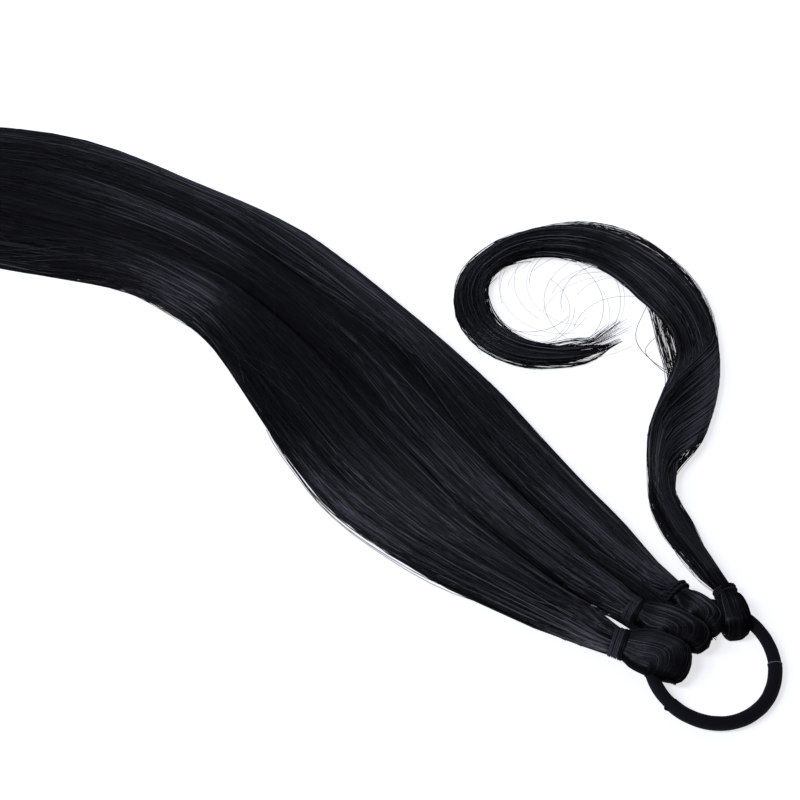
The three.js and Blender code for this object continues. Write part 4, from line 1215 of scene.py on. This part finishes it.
def wisp_strands(points, thickness, seed):
    """Loose strands: each leaves the lock, bows outside its dense part as sin of the way, and comes
    back; those at the tip stay free."""
    rng = np.random.default_rng(seed)
    which = np.repeat(np.arange(len(WISPS["start"])), WISPS["count"].astype(int))
    count = len(which)
    start = WISPS["start"][which] + 0.018 * rng.standard_normal(count)
    end = WISPS["end"][which] + 0.018 * rng.standard_normal(count)
    free = WISPS["end"][which] >= 0.99
    start = np.where(WISPS["start"][which] < 0.02, 0.0, start)
    end = np.where(free, 0.990 + 0.055 * rng.random(count), end)
    t = np.linspace(0, 1, points)[None, :]
    share = np.maximum(start[:, None] + (end - start)[:, None] * t, 0.0)
    bow = WISPS["bow"][which] + WISPS["spread"][which] * (rng.random(count) - 0.5) * 2
    rest = WISPS["rest"][which]
    shape = np.where(free[:, None], t ** 1.4, np.sin(np.pi * t) ** 0.9)
    w = rest[:, None] + (bow - rest)[:, None] * shape
    w = w + 0.05 * streaks(np.arange(count)[:, None] * 3.1, share * 9, seed + 1) * ease(share / 0.05)
    half, _, waist, crown = wrap_sizes(share)
    half = np.maximum(half, 2.2)
    point, heading = wrap_place(share)
    plan = point + across(heading) * (w * half)[..., None]
    inside = waist + crown * np.sqrt(np.maximum(1 - clamp(np.abs(w)) ** 2, 0)) - 0.5
    bowed = WISPS["height"][which][:, None] * (0.4 + rng.random(count))[:, None]
    height = mix(inside, bowed, clamp(shape * 1.2))
    lines = np.concatenate([plan, np.maximum(height, 0.15)[..., None]], -1)
    radius = thickness / 2 * (0.7 + 0.4 * rng.random(count))[:, None] * (1 - 0.5 * t ** 4)
    shade = np.broadcast_to((0.5 + 0.2 * rng.standard_normal(count))[:, None], lines.shape[:2])
    return lines, radius, shade


def flyaway_hairs(count, points, thickness, seed):
    """Single very fine hairs that lie on the floor round the curl: each leaves the wrap lock at a slant
    and goes on as a circular arc, sinking to the floor."""
    rng = np.random.default_rng(seed)
    share = 0.40 + 0.56 * rng.random(count)
    inward = rng.random(count) < 0.65
    point, heading = wrap_place(share[:, None])
    slant = np.where(inward, 5 + 14 * rng.random(count), -4 - 10 * rng.random(count))
    length = np.where(inward, 30 + 40 * rng.random(count), 18 + 16 * rng.random(count))[:, None]
    turn = length / np.where(inward, 21 + 14 * rng.random(count), 40 + 30 * rng.random(count))[:, None]
    t = np.linspace(0, 1, points)[None, :]
    first = np.radians(heading + slant[:, None])
    angle = first + turn * t
    step = np.stack([np.sin(angle) - np.sin(first), np.cos(first) - np.cos(angle)], -1)
    step = step * (length / turn)[..., None]
    height = mix(4.0, 0.3, ease(t / 0.5)) * np.ones((count, 1))
    lines = np.concatenate([point + step, height[..., None]], -1)
    radius = thickness / 2 * (0.22 + 0.22 * rng.random(count))[:, None] * np.ones_like(t)
    return lines, radius, np.full(radius.shape, 0.5)


# Materials

def blank_material(name):
    """A new material with one surface shader and nothing else."""
    material = bpy.data.materials.new(name)
    material.use_nodes = True
    nodes, links = material.node_tree.nodes, material.node_tree.links
    nodes.clear()
    output = nodes.new("ShaderNodeOutputMaterial")
    shader = nodes.new("ShaderNodeBsdfPrincipled")
    links.new(shader.outputs["BSDF"], output.inputs["Surface"])
    return material, nodes, links, shader


def ramp(nodes, links, factor, stops):
    """A colour ramp node fed by factor."""
    node = nodes.new("ShaderNodeValToRGB")
    elements = node.color_ramp.elements
    while len(elements) < len(stops):
        elements.new(0.5)
    for element, (position, colour) in zip(elements, stops):
        element.position = position
        element.color = (*colour, 1.0)
    links.new(factor, node.inputs["Fac"])
    return node.outputs["Color"]


def scaled(colour, factor):
    """A colour times a factor, at most 1 in each part."""
    return tuple(min(c * factor, 1.0) for c in colour)


def hair_material(name, look, fine_scale, bump):
    """Black fibre: the strand's shade, its own tone with painted highlights and painted shade, sets its
    colour between dark and light, a noise stretched along the hair varies it, and fine lines along the hair
    stand up a little."""
    material, nodes, links, shader = blank_material(name)
    shade = nodes.new("ShaderNodeAttribute")
    shade.attribute_name = "shade"
    uv = nodes.new("ShaderNodeUVMap")
    uv.uv_map = "along_hair"
    stretch = nodes.new("ShaderNodeMapping")
    stretch.inputs["Scale"].default_value = (fine_scale, 0.2, 1.0)
    links.new(uv.outputs["UV"], stretch.inputs["Vector"])
    lines = nodes.new("ShaderNodeTexNoise")
    lines.inputs["Scale"].default_value = 1.0
    lines.inputs["Detail"].default_value = 3.0
    lines.inputs["Roughness"].default_value = 0.6
    links.new(stretch.outputs["Vector"], lines.inputs["Vector"])
    blend = nodes.new("ShaderNodeMix")
    blend.data_type = "FLOAT"
    blend.inputs["Factor"].default_value = 0.25
    links.new(shade.outputs["Fac"], blend.inputs["A"])
    links.new(lines.outputs["Fac"], blend.inputs["B"])
    colour = tuple(look.hair_colour)
    links.new(ramp(nodes, links, blend.outputs["Result"], [
        (0.136, scaled(colour, 0.04)), (0.406, scaled(colour, 0.45)), (0.676, scaled(colour, 9.0)),
        (0.87, scaled(colour, 34.0))]), shader.inputs["Base Color"])
    rough = nodes.new("ShaderNodeMapRange")
    rough.inputs["From Min"].default_value = 0.136
    rough.inputs["From Max"].default_value = 0.75
    rough.inputs["To Min"].default_value = look.hair_roughness + 0.20
    rough.inputs["To Max"].default_value = look.hair_roughness - 0.07
    links.new(blend.outputs["Result"], rough.inputs["Value"])
    links.new(rough.outputs["Result"], shader.inputs["Roughness"])
    shader.inputs["Specular IOR Level"].default_value = look.hair_gloss
    shader.inputs["IOR"].default_value = 1.5
    if bump:
        height = nodes.new("ShaderNodeBump")
        height.inputs["Strength"].default_value = 0.6
        height.inputs["Distance"].default_value = bump * MM
        links.new(lines.outputs["Fac"], height.inputs["Height"])
        links.new(height.outputs["Normal"], shader.inputs["Normal"])
    return material


def cloth_material(name, colour, scale, roughness, bump, sheen):
    """Matte textile: fine ribs on the piece's own UV map darken and raise the surface."""
    material, nodes, links, shader = blank_material(name)
    uv = nodes.new("ShaderNodeUVMap")
    uv.uv_map = "along_hair"
    stretch = nodes.new("ShaderNodeMapping")
    stretch.inputs["Scale"].default_value = scale
    links.new(uv.outputs["UV"], stretch.inputs["Vector"])
    weave = nodes.new("ShaderNodeTexNoise")
    weave.inputs["Scale"].default_value = 1.0
    weave.inputs["Detail"].default_value = 2.0
    links.new(stretch.outputs["Vector"], weave.inputs["Vector"])
    links.new(ramp(nodes, links, weave.outputs["Fac"], [
        (0.3, scaled(colour, 0.65)), (0.7, scaled(colour, 1.35))]), shader.inputs["Base Color"])
    shader.inputs["Roughness"].default_value = roughness
    shader.inputs["Specular IOR Level"].default_value = 0.15
    shader.inputs["Sheen Weight"].default_value = sheen
    shader.inputs["Sheen Roughness"].default_value = 0.5
    height = nodes.new("ShaderNodeBump")
    height.inputs["Strength"].default_value = 0.5
    height.inputs["Distance"].default_value = bump * MM
    links.new(weave.outputs["Fac"], height.inputs["Height"])
    links.new(height.outputs["Normal"], shader.inputs["Normal"])
    return material


def shared_material(name, build):
    """The material of that name, built once."""
    return bpy.data.materials.get(name) or build(name)


# Properties

class HairpieceHair(bpy.types.PropertyGroup):
    hair_colour: FloatVectorProperty(
        name="Hair colour", description="Middle colour of the fibres", subtype="COLOR", size=3,
        default=(0.0038, 0.0038, 0.0041), min=0, max=1)
    hair_gloss: FloatProperty(
        name="Gloss", description="How strongly the fibres reflect", default=0.22, min=0, max=1,
        subtype="FACTOR")
    hair_roughness: FloatProperty(
        name="Roughness", description="How wide the fibres' sheen is", default=0.29, min=0.1, max=1,
        subtype="FACTOR")
    strand_thickness: FloatProperty(
        name="Strand thickness", description="Thickness of one strand", default=0.34 * MM, min=0.1 * MM,
        max=1 * MM, unit="LENGTH", precision=5)
    strands_per_hank: IntProperty(
        name="Strands in a hank", description="Number of strands drawn in each hank's tail", default=1450,
        min=50, max=1800)


class HairpieceTrim(bpy.types.PropertyGroup):
    sheath_colour: FloatVectorProperty(
        name="Sheath colour", description="Colour of the elastic's fabric", subtype="COLOR", size=3,
        default=(0.0062, 0.0060, 0.0082), min=0, max=1)
    join_colour: FloatVectorProperty(
        name="Join colour", description="Colour of the sheath's cut edge", subtype="COLOR", size=3,
        default=(0.19, 0.19, 0.21), min=0, max=1)
    thread_colour: FloatVectorProperty(
        name="Thread colour", description="Colour of the fine binding thread", subtype="COLOR", size=3,
        default=(0.042, 0.043, 0.049), min=0, max=1)
    rope_colour: FloatVectorProperty(
        name="Rope colour", description="Colour of the twisted binding cord", subtype="COLOR", size=3,
        default=(0.020, 0.019, 0.021), min=0, max=1)


class HairpieceStage(bpy.types.PropertyGroup):
    floor_colour: FloatVectorProperty(
        name="Floor colour", description="Colour of the plain floor", subtype="COLOR", size=3,
        default=(0.86, 0.86, 0.87), min=0, max=1)
    key_power: FloatProperty(
        name="Key lights", description="Power of the two key lights together", default=23.5, min=0,
        unit="POWER")
    back_power: FloatProperty(
        name="Back light", description="Power of the soft light behind the tail", default=5.0, min=0,
        unit="POWER")
    light_colour: FloatVectorProperty(
        name="Light colour", description="Colour of the lights and the surroundings", subtype="COLOR", size=3,
        default=(0.75, 0.80, 1.0), min=0, max=1)
    sky_strength: FloatProperty(
        name="Surroundings", description="Brightness of the surroundings", default=0.12, min=0)
    floor_glow: FloatProperty(
        name="Floor glow", description="Light that the floor gives off itself, as a lit table does",
        default=0.7, min=0)
    camera_distance: FloatProperty(
        name="Camera distance", description="Distance from the camera to the picture's middle",
        default=635 * MM, min=0.2, unit="LENGTH")


# Operators

# The photograph's camera: degrees round and above, a place on the floor from the ring's centre in
# millimetres, how far below it the picture's middle lies, and its lens and sensor.
CAMERA = {"azimuth": 30.0, "elevation": 54.0, "aim": (-154.3, 48.1, 0.0), "below": 1.2,
          "lens": 72, "sensor": 36}
FLOOR_HALF = 3.0

# Lights: name, place in metres, width and height, and the property and share that give its power.
LIGHTS = (
    ("left key light", (-1.155, -1.155, 1.47), (0.5, 0.5), "key_power", 0.42),
    ("front key light", (-0.60, -1.02, 1.86), (0.5, 0.5), "key_power", 0.58),
    ("back light", (-0.58, 1.0, 1.62), (1.2, 0.8), "back_power", 1.0),
)


class HAIRPIECE_OT_stage(bpy.types.Operator):
    """Camera at the photograph's angle, plain pale floor and soft studio light"""
    bl_idname = "hairpiece.stage"
    bl_label = "Stage"

    def execute(self, context):
        look = context.scene.hairpiece_stage
        scene = context.scene
        azimuth, elevation = np.radians(CAMERA["azimuth"]), np.radians(CAMERA["elevation"])
        back = np.array([np.sin(azimuth) * np.cos(elevation), -np.cos(azimuth) * np.cos(elevation),
                         np.sin(elevation)])
        up = np.cross(back, np.array([np.cos(azimuth), np.sin(azimuth), 0.0]))
        target = (np.array(CAMERA["aim"]) + SHIFT - CAMERA["below"] * up) * MM
        data = bpy.data.cameras.new("camera")
        data.lens = CAMERA["lens"]
        data.sensor_width = CAMERA["sensor"]
        data.clip_start = 0.05
        camera = bpy.data.objects.new("camera", data)
        scene.collection.objects.link(camera)
        camera.location = Vector(target + back * look.camera_distance)
        camera.rotation_euler = Vector(back).to_track_quat("Z", "Y").to_euler()
        scene.camera = camera

        size = FLOOR_HALF
        mesh = bpy.data.meshes.new("floor")
        mesh.from_pydata([(-size, -size, 0), (size, -size, 0), (size, size, 0), (-size, size, 0)], [],
                         [(0, 1, 2, 3)])
        floor = bpy.data.objects.new("floor", mesh)
        scene.collection.objects.link(floor)
        material, _, _, shader = blank_material("pale floor")
        shader.inputs["Base Color"].default_value = (*look.floor_colour, 1)
        shader.inputs["Roughness"].default_value = 0.9
        shader.inputs["Specular IOR Level"].default_value = 0.0
        shader.inputs["Emission Color"].default_value = (1.0, 1.0, 1.0, 1.0)
        shader.inputs["Emission Strength"].default_value = look.floor_glow
        mesh.materials.append(material)
        floor.visible_glossy = False

        for name, place, width, power, part in LIGHTS:
            light = bpy.data.lights.new(name, "AREA")
            light.color = look.light_colour
            light.shape = "RECTANGLE"
            light.size, light.size_y = width
            light.energy = getattr(look, power) * part
            lamp = bpy.data.objects.new(name, light)
            scene.collection.objects.link(lamp)
            lamp.location = Vector(place)
            lamp.rotation_euler = Vector(place).to_track_quat("Z", "Y").to_euler()

        world = bpy.data.worlds.new("white room")
        scene.world = world
        world.use_nodes = True
        background = world.node_tree.nodes["Background"]
        background.inputs["Color"].default_value = (*look.light_colour, 1.0)
        background.inputs["Strength"].default_value = look.sky_strength
        scene.view_settings.view_transform = "Standard"
        return {"FINISHED"}


def tilt_ring(points):
    """Points about the ring's centre, tilted so that the ring's back lies in the loops, its front on
    the floor: turned about the level axis across 'highest', then raised."""
    slope = np.arcsin(RING_RISE / (2 * RING_RADIUS))
    h = np.radians(RING["highest"])
    axis = np.array([np.sin(h), -np.cos(h), 0.0])
    c, s = np.cos(slope), np.sin(slope)
    turned = (points * c + np.cross(axis, points) * s
              + axis * (points @ axis)[..., None] * (1 - c))
    turned[..., 2] += CORD_RADIUS + SHEATH + RING_RISE / 2
    return turned


class HAIRPIECE_OT_elastic(bpy.types.Operator):
    """The fabric-covered elastic with its lapped sheath, light cut edge and sewn nub"""
    bl_idname = "hairpiece.elastic"
    bl_label = "Elastic ring"

    def execute(self, context):
        look = context.scene.hairpiece_trim
        around, sides = 256, 36
        theta = (np.arange(around) / around * 2 * np.pi)[:, None]
        phi = (np.arange(sides) / sides * 2 * np.pi)[None, :]
        degrees = np.degrees(theta)
        lap = ((degrees - RING["sheath_from"]) % 360) < ((RING["sheath_to"] - RING["sheath_from"]) % 360)
        ribs = 0.045 * np.cos(15 * phi + 3 * theta)
        radius = CORD_RADIUS + np.where(lap, SHEATH, 0.0) + ribs + 0.05 * streaks(theta * 9, phi * 1.0, 5)
        reach = RING_RADIUS + radius * np.cos(phi)
        ring = np.stack([reach * np.cos(theta), reach * np.sin(theta),
                         np.broadcast_to(radius * np.sin(phi), reach.shape)], -1)
        verts, faces = skin(tilt_ring(ring), closed_rows=True)
        uv = np.stack([np.broadcast_to(theta * RING_RADIUS * CM, reach.shape),
                       np.broadcast_to(phi * CORD_RADIUS * CM, reach.shape)], -1).reshape(-1, 2)
        cloth = shared_material("elastic fabric", lambda name: cloth_material(
            name, tuple(look.sheath_colour), (14.0, 60.0, 1.0), 0.82, 0.12, 0.05))
        sheath = put_mesh("elastic_sheath", verts, outward(verts, faces), uv)
        finish_piece(sheath, cloth, "elastic_fabric", "elastic_ring")

        angle = np.radians(RING["sheath_to"])
        turn = np.linspace(0, 2 * np.pi, 41)[:-1]
        tube = CORD_RADIUS + SHEATH + 0.02
        line = np.stack([(RING_RADIUS + tube * np.cos(turn)) * np.cos(angle),
                         (RING_RADIUS + tube * np.cos(turn)) * np.sin(angle), tube * np.sin(turn)], -1)[None]
        line = tilt_ring(line)
        centre = tilt_ring(np.array([[[RING_RADIUS * np.cos(angle), RING_RADIUS * np.sin(angle), 0.0]]]))
        verts, faces = tubes(line, 0.16, 6, up=line - centre, closed=True)
        edge = put_mesh("sheath_edge", verts, outward(verts, faces), np.zeros((len(verts), 2)))
        finish_piece(edge, shared_material("sheath cut edge", lambda name: cloth_material(
            name, tuple(look.join_colour), (20.0, 20.0, 1.0), 0.8, 0.03, 0.0)), "elastic_fabric")

        place = round_ring(RING["nub"], CORD_RADIUS - 0.3)
        a = np.linspace(-np.pi / 2, np.pi / 2, 16)[1:-1][:, None]
        b = (np.arange(20) / 20 * 2 * np.pi)[None, :]
        knot = 1.05 * (1 + 0.10 * np.cos(5 * b + 6 * a))
        ball = np.stack([knot * np.cos(a) * np.cos(b), knot * np.cos(a) * np.sin(b),
                         knot * np.sin(a) * np.ones_like(b)], -1)
        ball = tilt_ring(ball + np.array([place[0], place[1], 0.0]))
        verts, faces = skin(ball)
        uv = np.zeros((len(verts), 2))
        uv[:ball.shape[0] * ball.shape[1]] = np.stack(np.broadcast_arrays(a, b), -1).reshape(-1, 2)
        nub = put_mesh("sewn_nub", verts, outward(verts, faces), uv)
        finish_piece(nub, cloth, "elastic_fabric")
        return {"FINISHED"}


class HAIRPIECE_OT_hanks(bpy.types.Operator):
    """The three hanks' tails: a body of hair under each and its strands"""
    bl_idname = "hairpiece.hanks"
    bl_label = "Hanks"

    def execute(self, context):
        look = context.scene.hairpiece_hair
        body = shared_material("hair body", lambda name: hair_material(name, look, 45.0, 0.25))
        fibre = shared_material("hair strands", lambda name: hair_material(name, look, 1.0, 0.0))
        thickness = look.strand_thickness / MM
        for index, row in enumerate(HANKS):
            rows, uv = hank_core(index, *HANK_GRID)
            # Painted shade: the body's middle shade is darker than its strands'.
            put_body(f"hank_body_{row['name']}", body, rows, uv, (0.22, 0.2), (0.13, 25), 90 + index,
                     f"hank_{row['name']}")
            strands = hank_strands(index, look.strands_per_hank, POINTS["hank"], thickness, 100 + 20 * index)
            put_strands(f"hank_hair_{row['name']}", fibre, *strands)
        for name, gap, start, end, count in NECK_GAPS:
            strands = gap_strands(gap, start, end, count, POINTS["gap"], thickness, 170)
            put_strands(f"neck_hair_{name}", fibre, *strands)
        put_strands("loose_hair", fibre, *stray_hairs(POINTS["stray"], thickness, 180))
        return {"FINISHED"}


class HAIRPIECE_OT_loops(bpy.types.Operator):
    """The four loop heads over the elastic"""
    bl_idname = "hairpiece.loops"
    bl_label = "Loop heads"

    def execute(self, context):
        look = context.scene.hairpiece_hair
        body = bpy.data.materials["hair body"]
        fibre = bpy.data.materials["hair strands"]
        thickness = look.strand_thickness / MM
        for number, row in enumerate(HANKS + [WRAP_PLACE]):
            centre = WRAP_CENTRE if row is WRAP_PLACE else binding_centre(row)
            ring, uv = loop_surface(row, centre, *LOOP_GRID, 0.55)
            # Painted shade: the body's middle shade is darker than its strands'.
            put_body(f"loop_body_{row['name']}", body, ring, uv, (0.2, 0.15), (0.1, 3), 60 + number)
            make = loop_strands if row is WRAP_PLACE else turning_strands
            strands = make(row, centre, COUNTS["loop"], POINTS["loop"], thickness, 300 + number)
            put_strands(f"loop_hair_{row['name']}", fibre, *strands)
        return {"FINISHED"}


class HAIRPIECE_OT_wrap(bpy.types.Operator):
    """The wrap lock: its body, long strands, the fan at its twist and loose wisps"""
    bl_idname = "hairpiece.wrap"
    bl_label = "Wrap lock"

    def execute(self, context):
        look = context.scene.hairpiece_hair
        body = bpy.data.materials["hair body"]
        fibre = bpy.data.materials["hair strands"]
        thickness = look.strand_thickness / MM
        rows, uv = wrap_core(*WRAP_GRID)
        # Painted shade: the body's middle shade is darker than its strands'.
        put_body("wrap_body", body, rows, uv, (0.25, 0.2), (0.1, 9), 95, "wrap_lock")
        put_strands("wrap_hair", fibre, *wrap_strands(COUNTS["wrap"], POINTS["wrap"], thickness, 500))
        put_strands("wrap_fan", fibre, *fan_strands(COUNTS["fan"], POINTS["fan"], thickness, 520))
        put_strands("wrap_wisps", fibre, *wisp_strands(POINTS["wisp"], thickness * 0.8, 540))
        hairs = flyaway_hairs(COUNTS["flyaway"], POINTS["flyaway"], thickness, 560)
        put_strands("flyaway_hair", fibre, *hairs)
        return {"FINISHED"}


def round_neck(row, centre, angle, off, along):
    """A point round a neck: off is its distance outside the neck's surface, along its distance behind
    the binding's middle."""
    neck = neck_sizes(row)
    side, back = across(row["neck_heading"]), direction(row["neck_heading"])
    sideways = np.cos(angle) * (neck["half_width"] + off)
    plan = centre + side * sideways[..., None] + back * (along * np.ones_like(angle))[..., None]
    z = neck["lift"] + neck["half_height"] + np.sin(angle) * (neck["half_height"] + off)
    return np.concatenate([plan, z[..., None]], -1)


def neck_axis(row, centre, lines, along):
    """The neck's middle beside each point, to point the tubes' normals away from it."""
    neck = neck_sizes(row)
    plan = centre + direction(row["neck_heading"]) * along[..., None]
    z = np.full(plan.shape[:-1] + (1,), neck["lift"] + neck["half_height"])
    return lines - np.concatenate([plan, z], -1)


class HAIRPIECE_OT_bindings(bpy.types.Operator):
    """Wound thread round the first two necks, twisted cord round the other two"""
    bl_idname = "hairpiece.bindings"
    bl_label = "Bindings"

    def execute(self, context):
        look = context.scene.hairpiece_trim
        thread = shared_material("binding thread", lambda name: cloth_material(
            name, tuple(look.thread_colour), (3.0, 40.0, 1.0), 0.5, 0.05, 0.0))
        edge = shared_material("binding edge", lambda name: cloth_material(
            name, tuple(0.12 * c for c in look.thread_colour), (3.0, 40.0, 1.0), 0.5, 0.05, 0.0))
        cord = shared_material("binding cord", lambda name: cloth_material(
            name, tuple(look.rope_colour), (30.0, 30.0, 1.0), 0.5, 0.1, 0.0))
        for row in HANKS[:2]:
            centre = binding_centre(row)
            steps = 40
            t = np.linspace(0, 1, int(THREAD["turns"] * steps) + 1)[None, :]
            angle = t * THREAD["turns"] * 2 * np.pi + 0.6
            along = mix(THREAD["from"], THREAD["to"], t) + 0.12 * np.sin(angle * 0.37)
            off = THREAD["outside"] + 0.07 * np.sin(angle * 0.61)
            lines = round_neck(row, centre, angle, off, along)
            verts, faces = tubes(lines, THREAD["radius"], 8, up=neck_axis(row, centre, lines, along))
            uv = np.repeat(np.stack([angle[0], along[0]], -1), 8, 0)
            wound = put_mesh(f"binding_thread_{row['name']}", verts, outward(verts, faces), uv)
            finish_piece(wound, thread, "binding_thread", f"binding_{row['name']}")
            steps = BAND["steps"]
            rings = np.repeat(np.array(BAND["places"])[:, None], steps, 1)
            angle = np.broadcast_to(np.arange(steps) / steps * 2 * np.pi, rings.shape)
            lines = round_neck(row, centre, angle, BAND["outside"], rings)
            axis = neck_axis(row, centre, lines, rings)
            verts, faces = tubes(lines, BAND["radius"], 10, up=axis, closed=True)
            uv = np.repeat(np.stack([angle.ravel(), rings.ravel()], -1), 10, 0)
            band = put_mesh(f"binding_band_{row['name']}", verts, outward(verts, faces), uv)
            finish_piece(band, edge, "binding_thread")
        for row, node in ((HANKS[2], "binding_back"), (WRAP_PLACE, "wrap_binding")):
            centre = WRAP_CENTRE if row is WRAP_PLACE else binding_centre(row)
            turns, steps, plies = row["rope_turns"], ROPE["steps"], ROPE["plies"]
            t = np.arange(steps)[None, :] / steps
            which = np.repeat(np.arange(turns), plies)[:, None]
            ply = np.tile(np.arange(plies), turns)[:, None]
            angle = np.broadcast_to(t * 2 * np.pi, (turns * plies, steps))
            twist = ROPE["twists"] * angle + ply * np.pi + which * 1.1
            row_middle = (which - (turns - 1) / 2) * ROPE_THICKNESS * ROPE["pitch"]
            along = row_middle + ROPE["reach"] * np.sin(twist)
            middle_off = CLEARANCE + ROPE_THICKNESS / 2 - ROPE["inset"]
            lines = round_neck(row, centre, angle, middle_off + ROPE["reach"] * np.cos(twist), along)
            middle = round_neck(row, centre, angle, middle_off, along - ROPE["reach"] * np.sin(twist))
            verts, faces = tubes(lines, ROPE["radius"], 8, up=lines - middle, closed=True)
            uv = np.repeat(np.stack([angle.ravel(), along.ravel()], -1), 8, 0)
            rope = put_mesh(f"rope_{row['name']}", verts, outward(verts, faces), uv)
            finish_piece(rope, cord, "binding_rope", node)
        return {"FINISHED"}


class HAIRPIECE_PT_panel(bpy.types.Panel):
    bl_idname = "HAIRPIECE_PT_panel"
    bl_label = "Ponytail hairpiece"
    bl_space_type = "VIEW_3D"
    bl_region_type = "UI"
    bl_category = "Hairpiece"

    def draw(self, context):
        layout = self.layout
        scene = context.scene
        for group in (scene.hairpiece_hair, scene.hairpiece_trim, scene.hairpiece_stage):
            box = layout.box()
            for name in group.__annotations__:
                box.prop(group, name)
        for operator in OPERATORS:
            layout.operator(operator.bl_idname)


GROUPS = (("hairpiece_hair", HairpieceHair), ("hairpiece_trim", HairpieceTrim),
          ("hairpiece_stage", HairpieceStage))
OPERATORS = (HAIRPIECE_OT_stage, HAIRPIECE_OT_elastic, HAIRPIECE_OT_hanks, HAIRPIECE_OT_loops,
             HAIRPIECE_OT_wrap, HAIRPIECE_OT_bindings)


def register():
    for name, group in GROUPS:
        bpy.utils.register_class(group)
        setattr(bpy.types.Scene, name, PointerProperty(type=group))
    for cls in OPERATORS + (HAIRPIECE_PT_panel,):
        bpy.utils.register_class(cls)


def unregister():
    for cls in reversed(OPERATORS + (HAIRPIECE_PT_panel,)):
        bpy.utils.unregister_class(cls)
    for name, group in reversed(GROUPS):
        delattr(bpy.types.Scene, name)
        bpy.utils.unregister_class(group)


def main():
    """Registers the add-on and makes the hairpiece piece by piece."""
    register()
    for operator in (bpy.ops.hairpiece.stage, bpy.ops.hairpiece.elastic, bpy.ops.hairpiece.hanks,
                     bpy.ops.hairpiece.loops, bpy.ops.hairpiece.wrap, bpy.ops.hairpiece.bindings):
        operator()


if __name__ == "__main__":
    main()
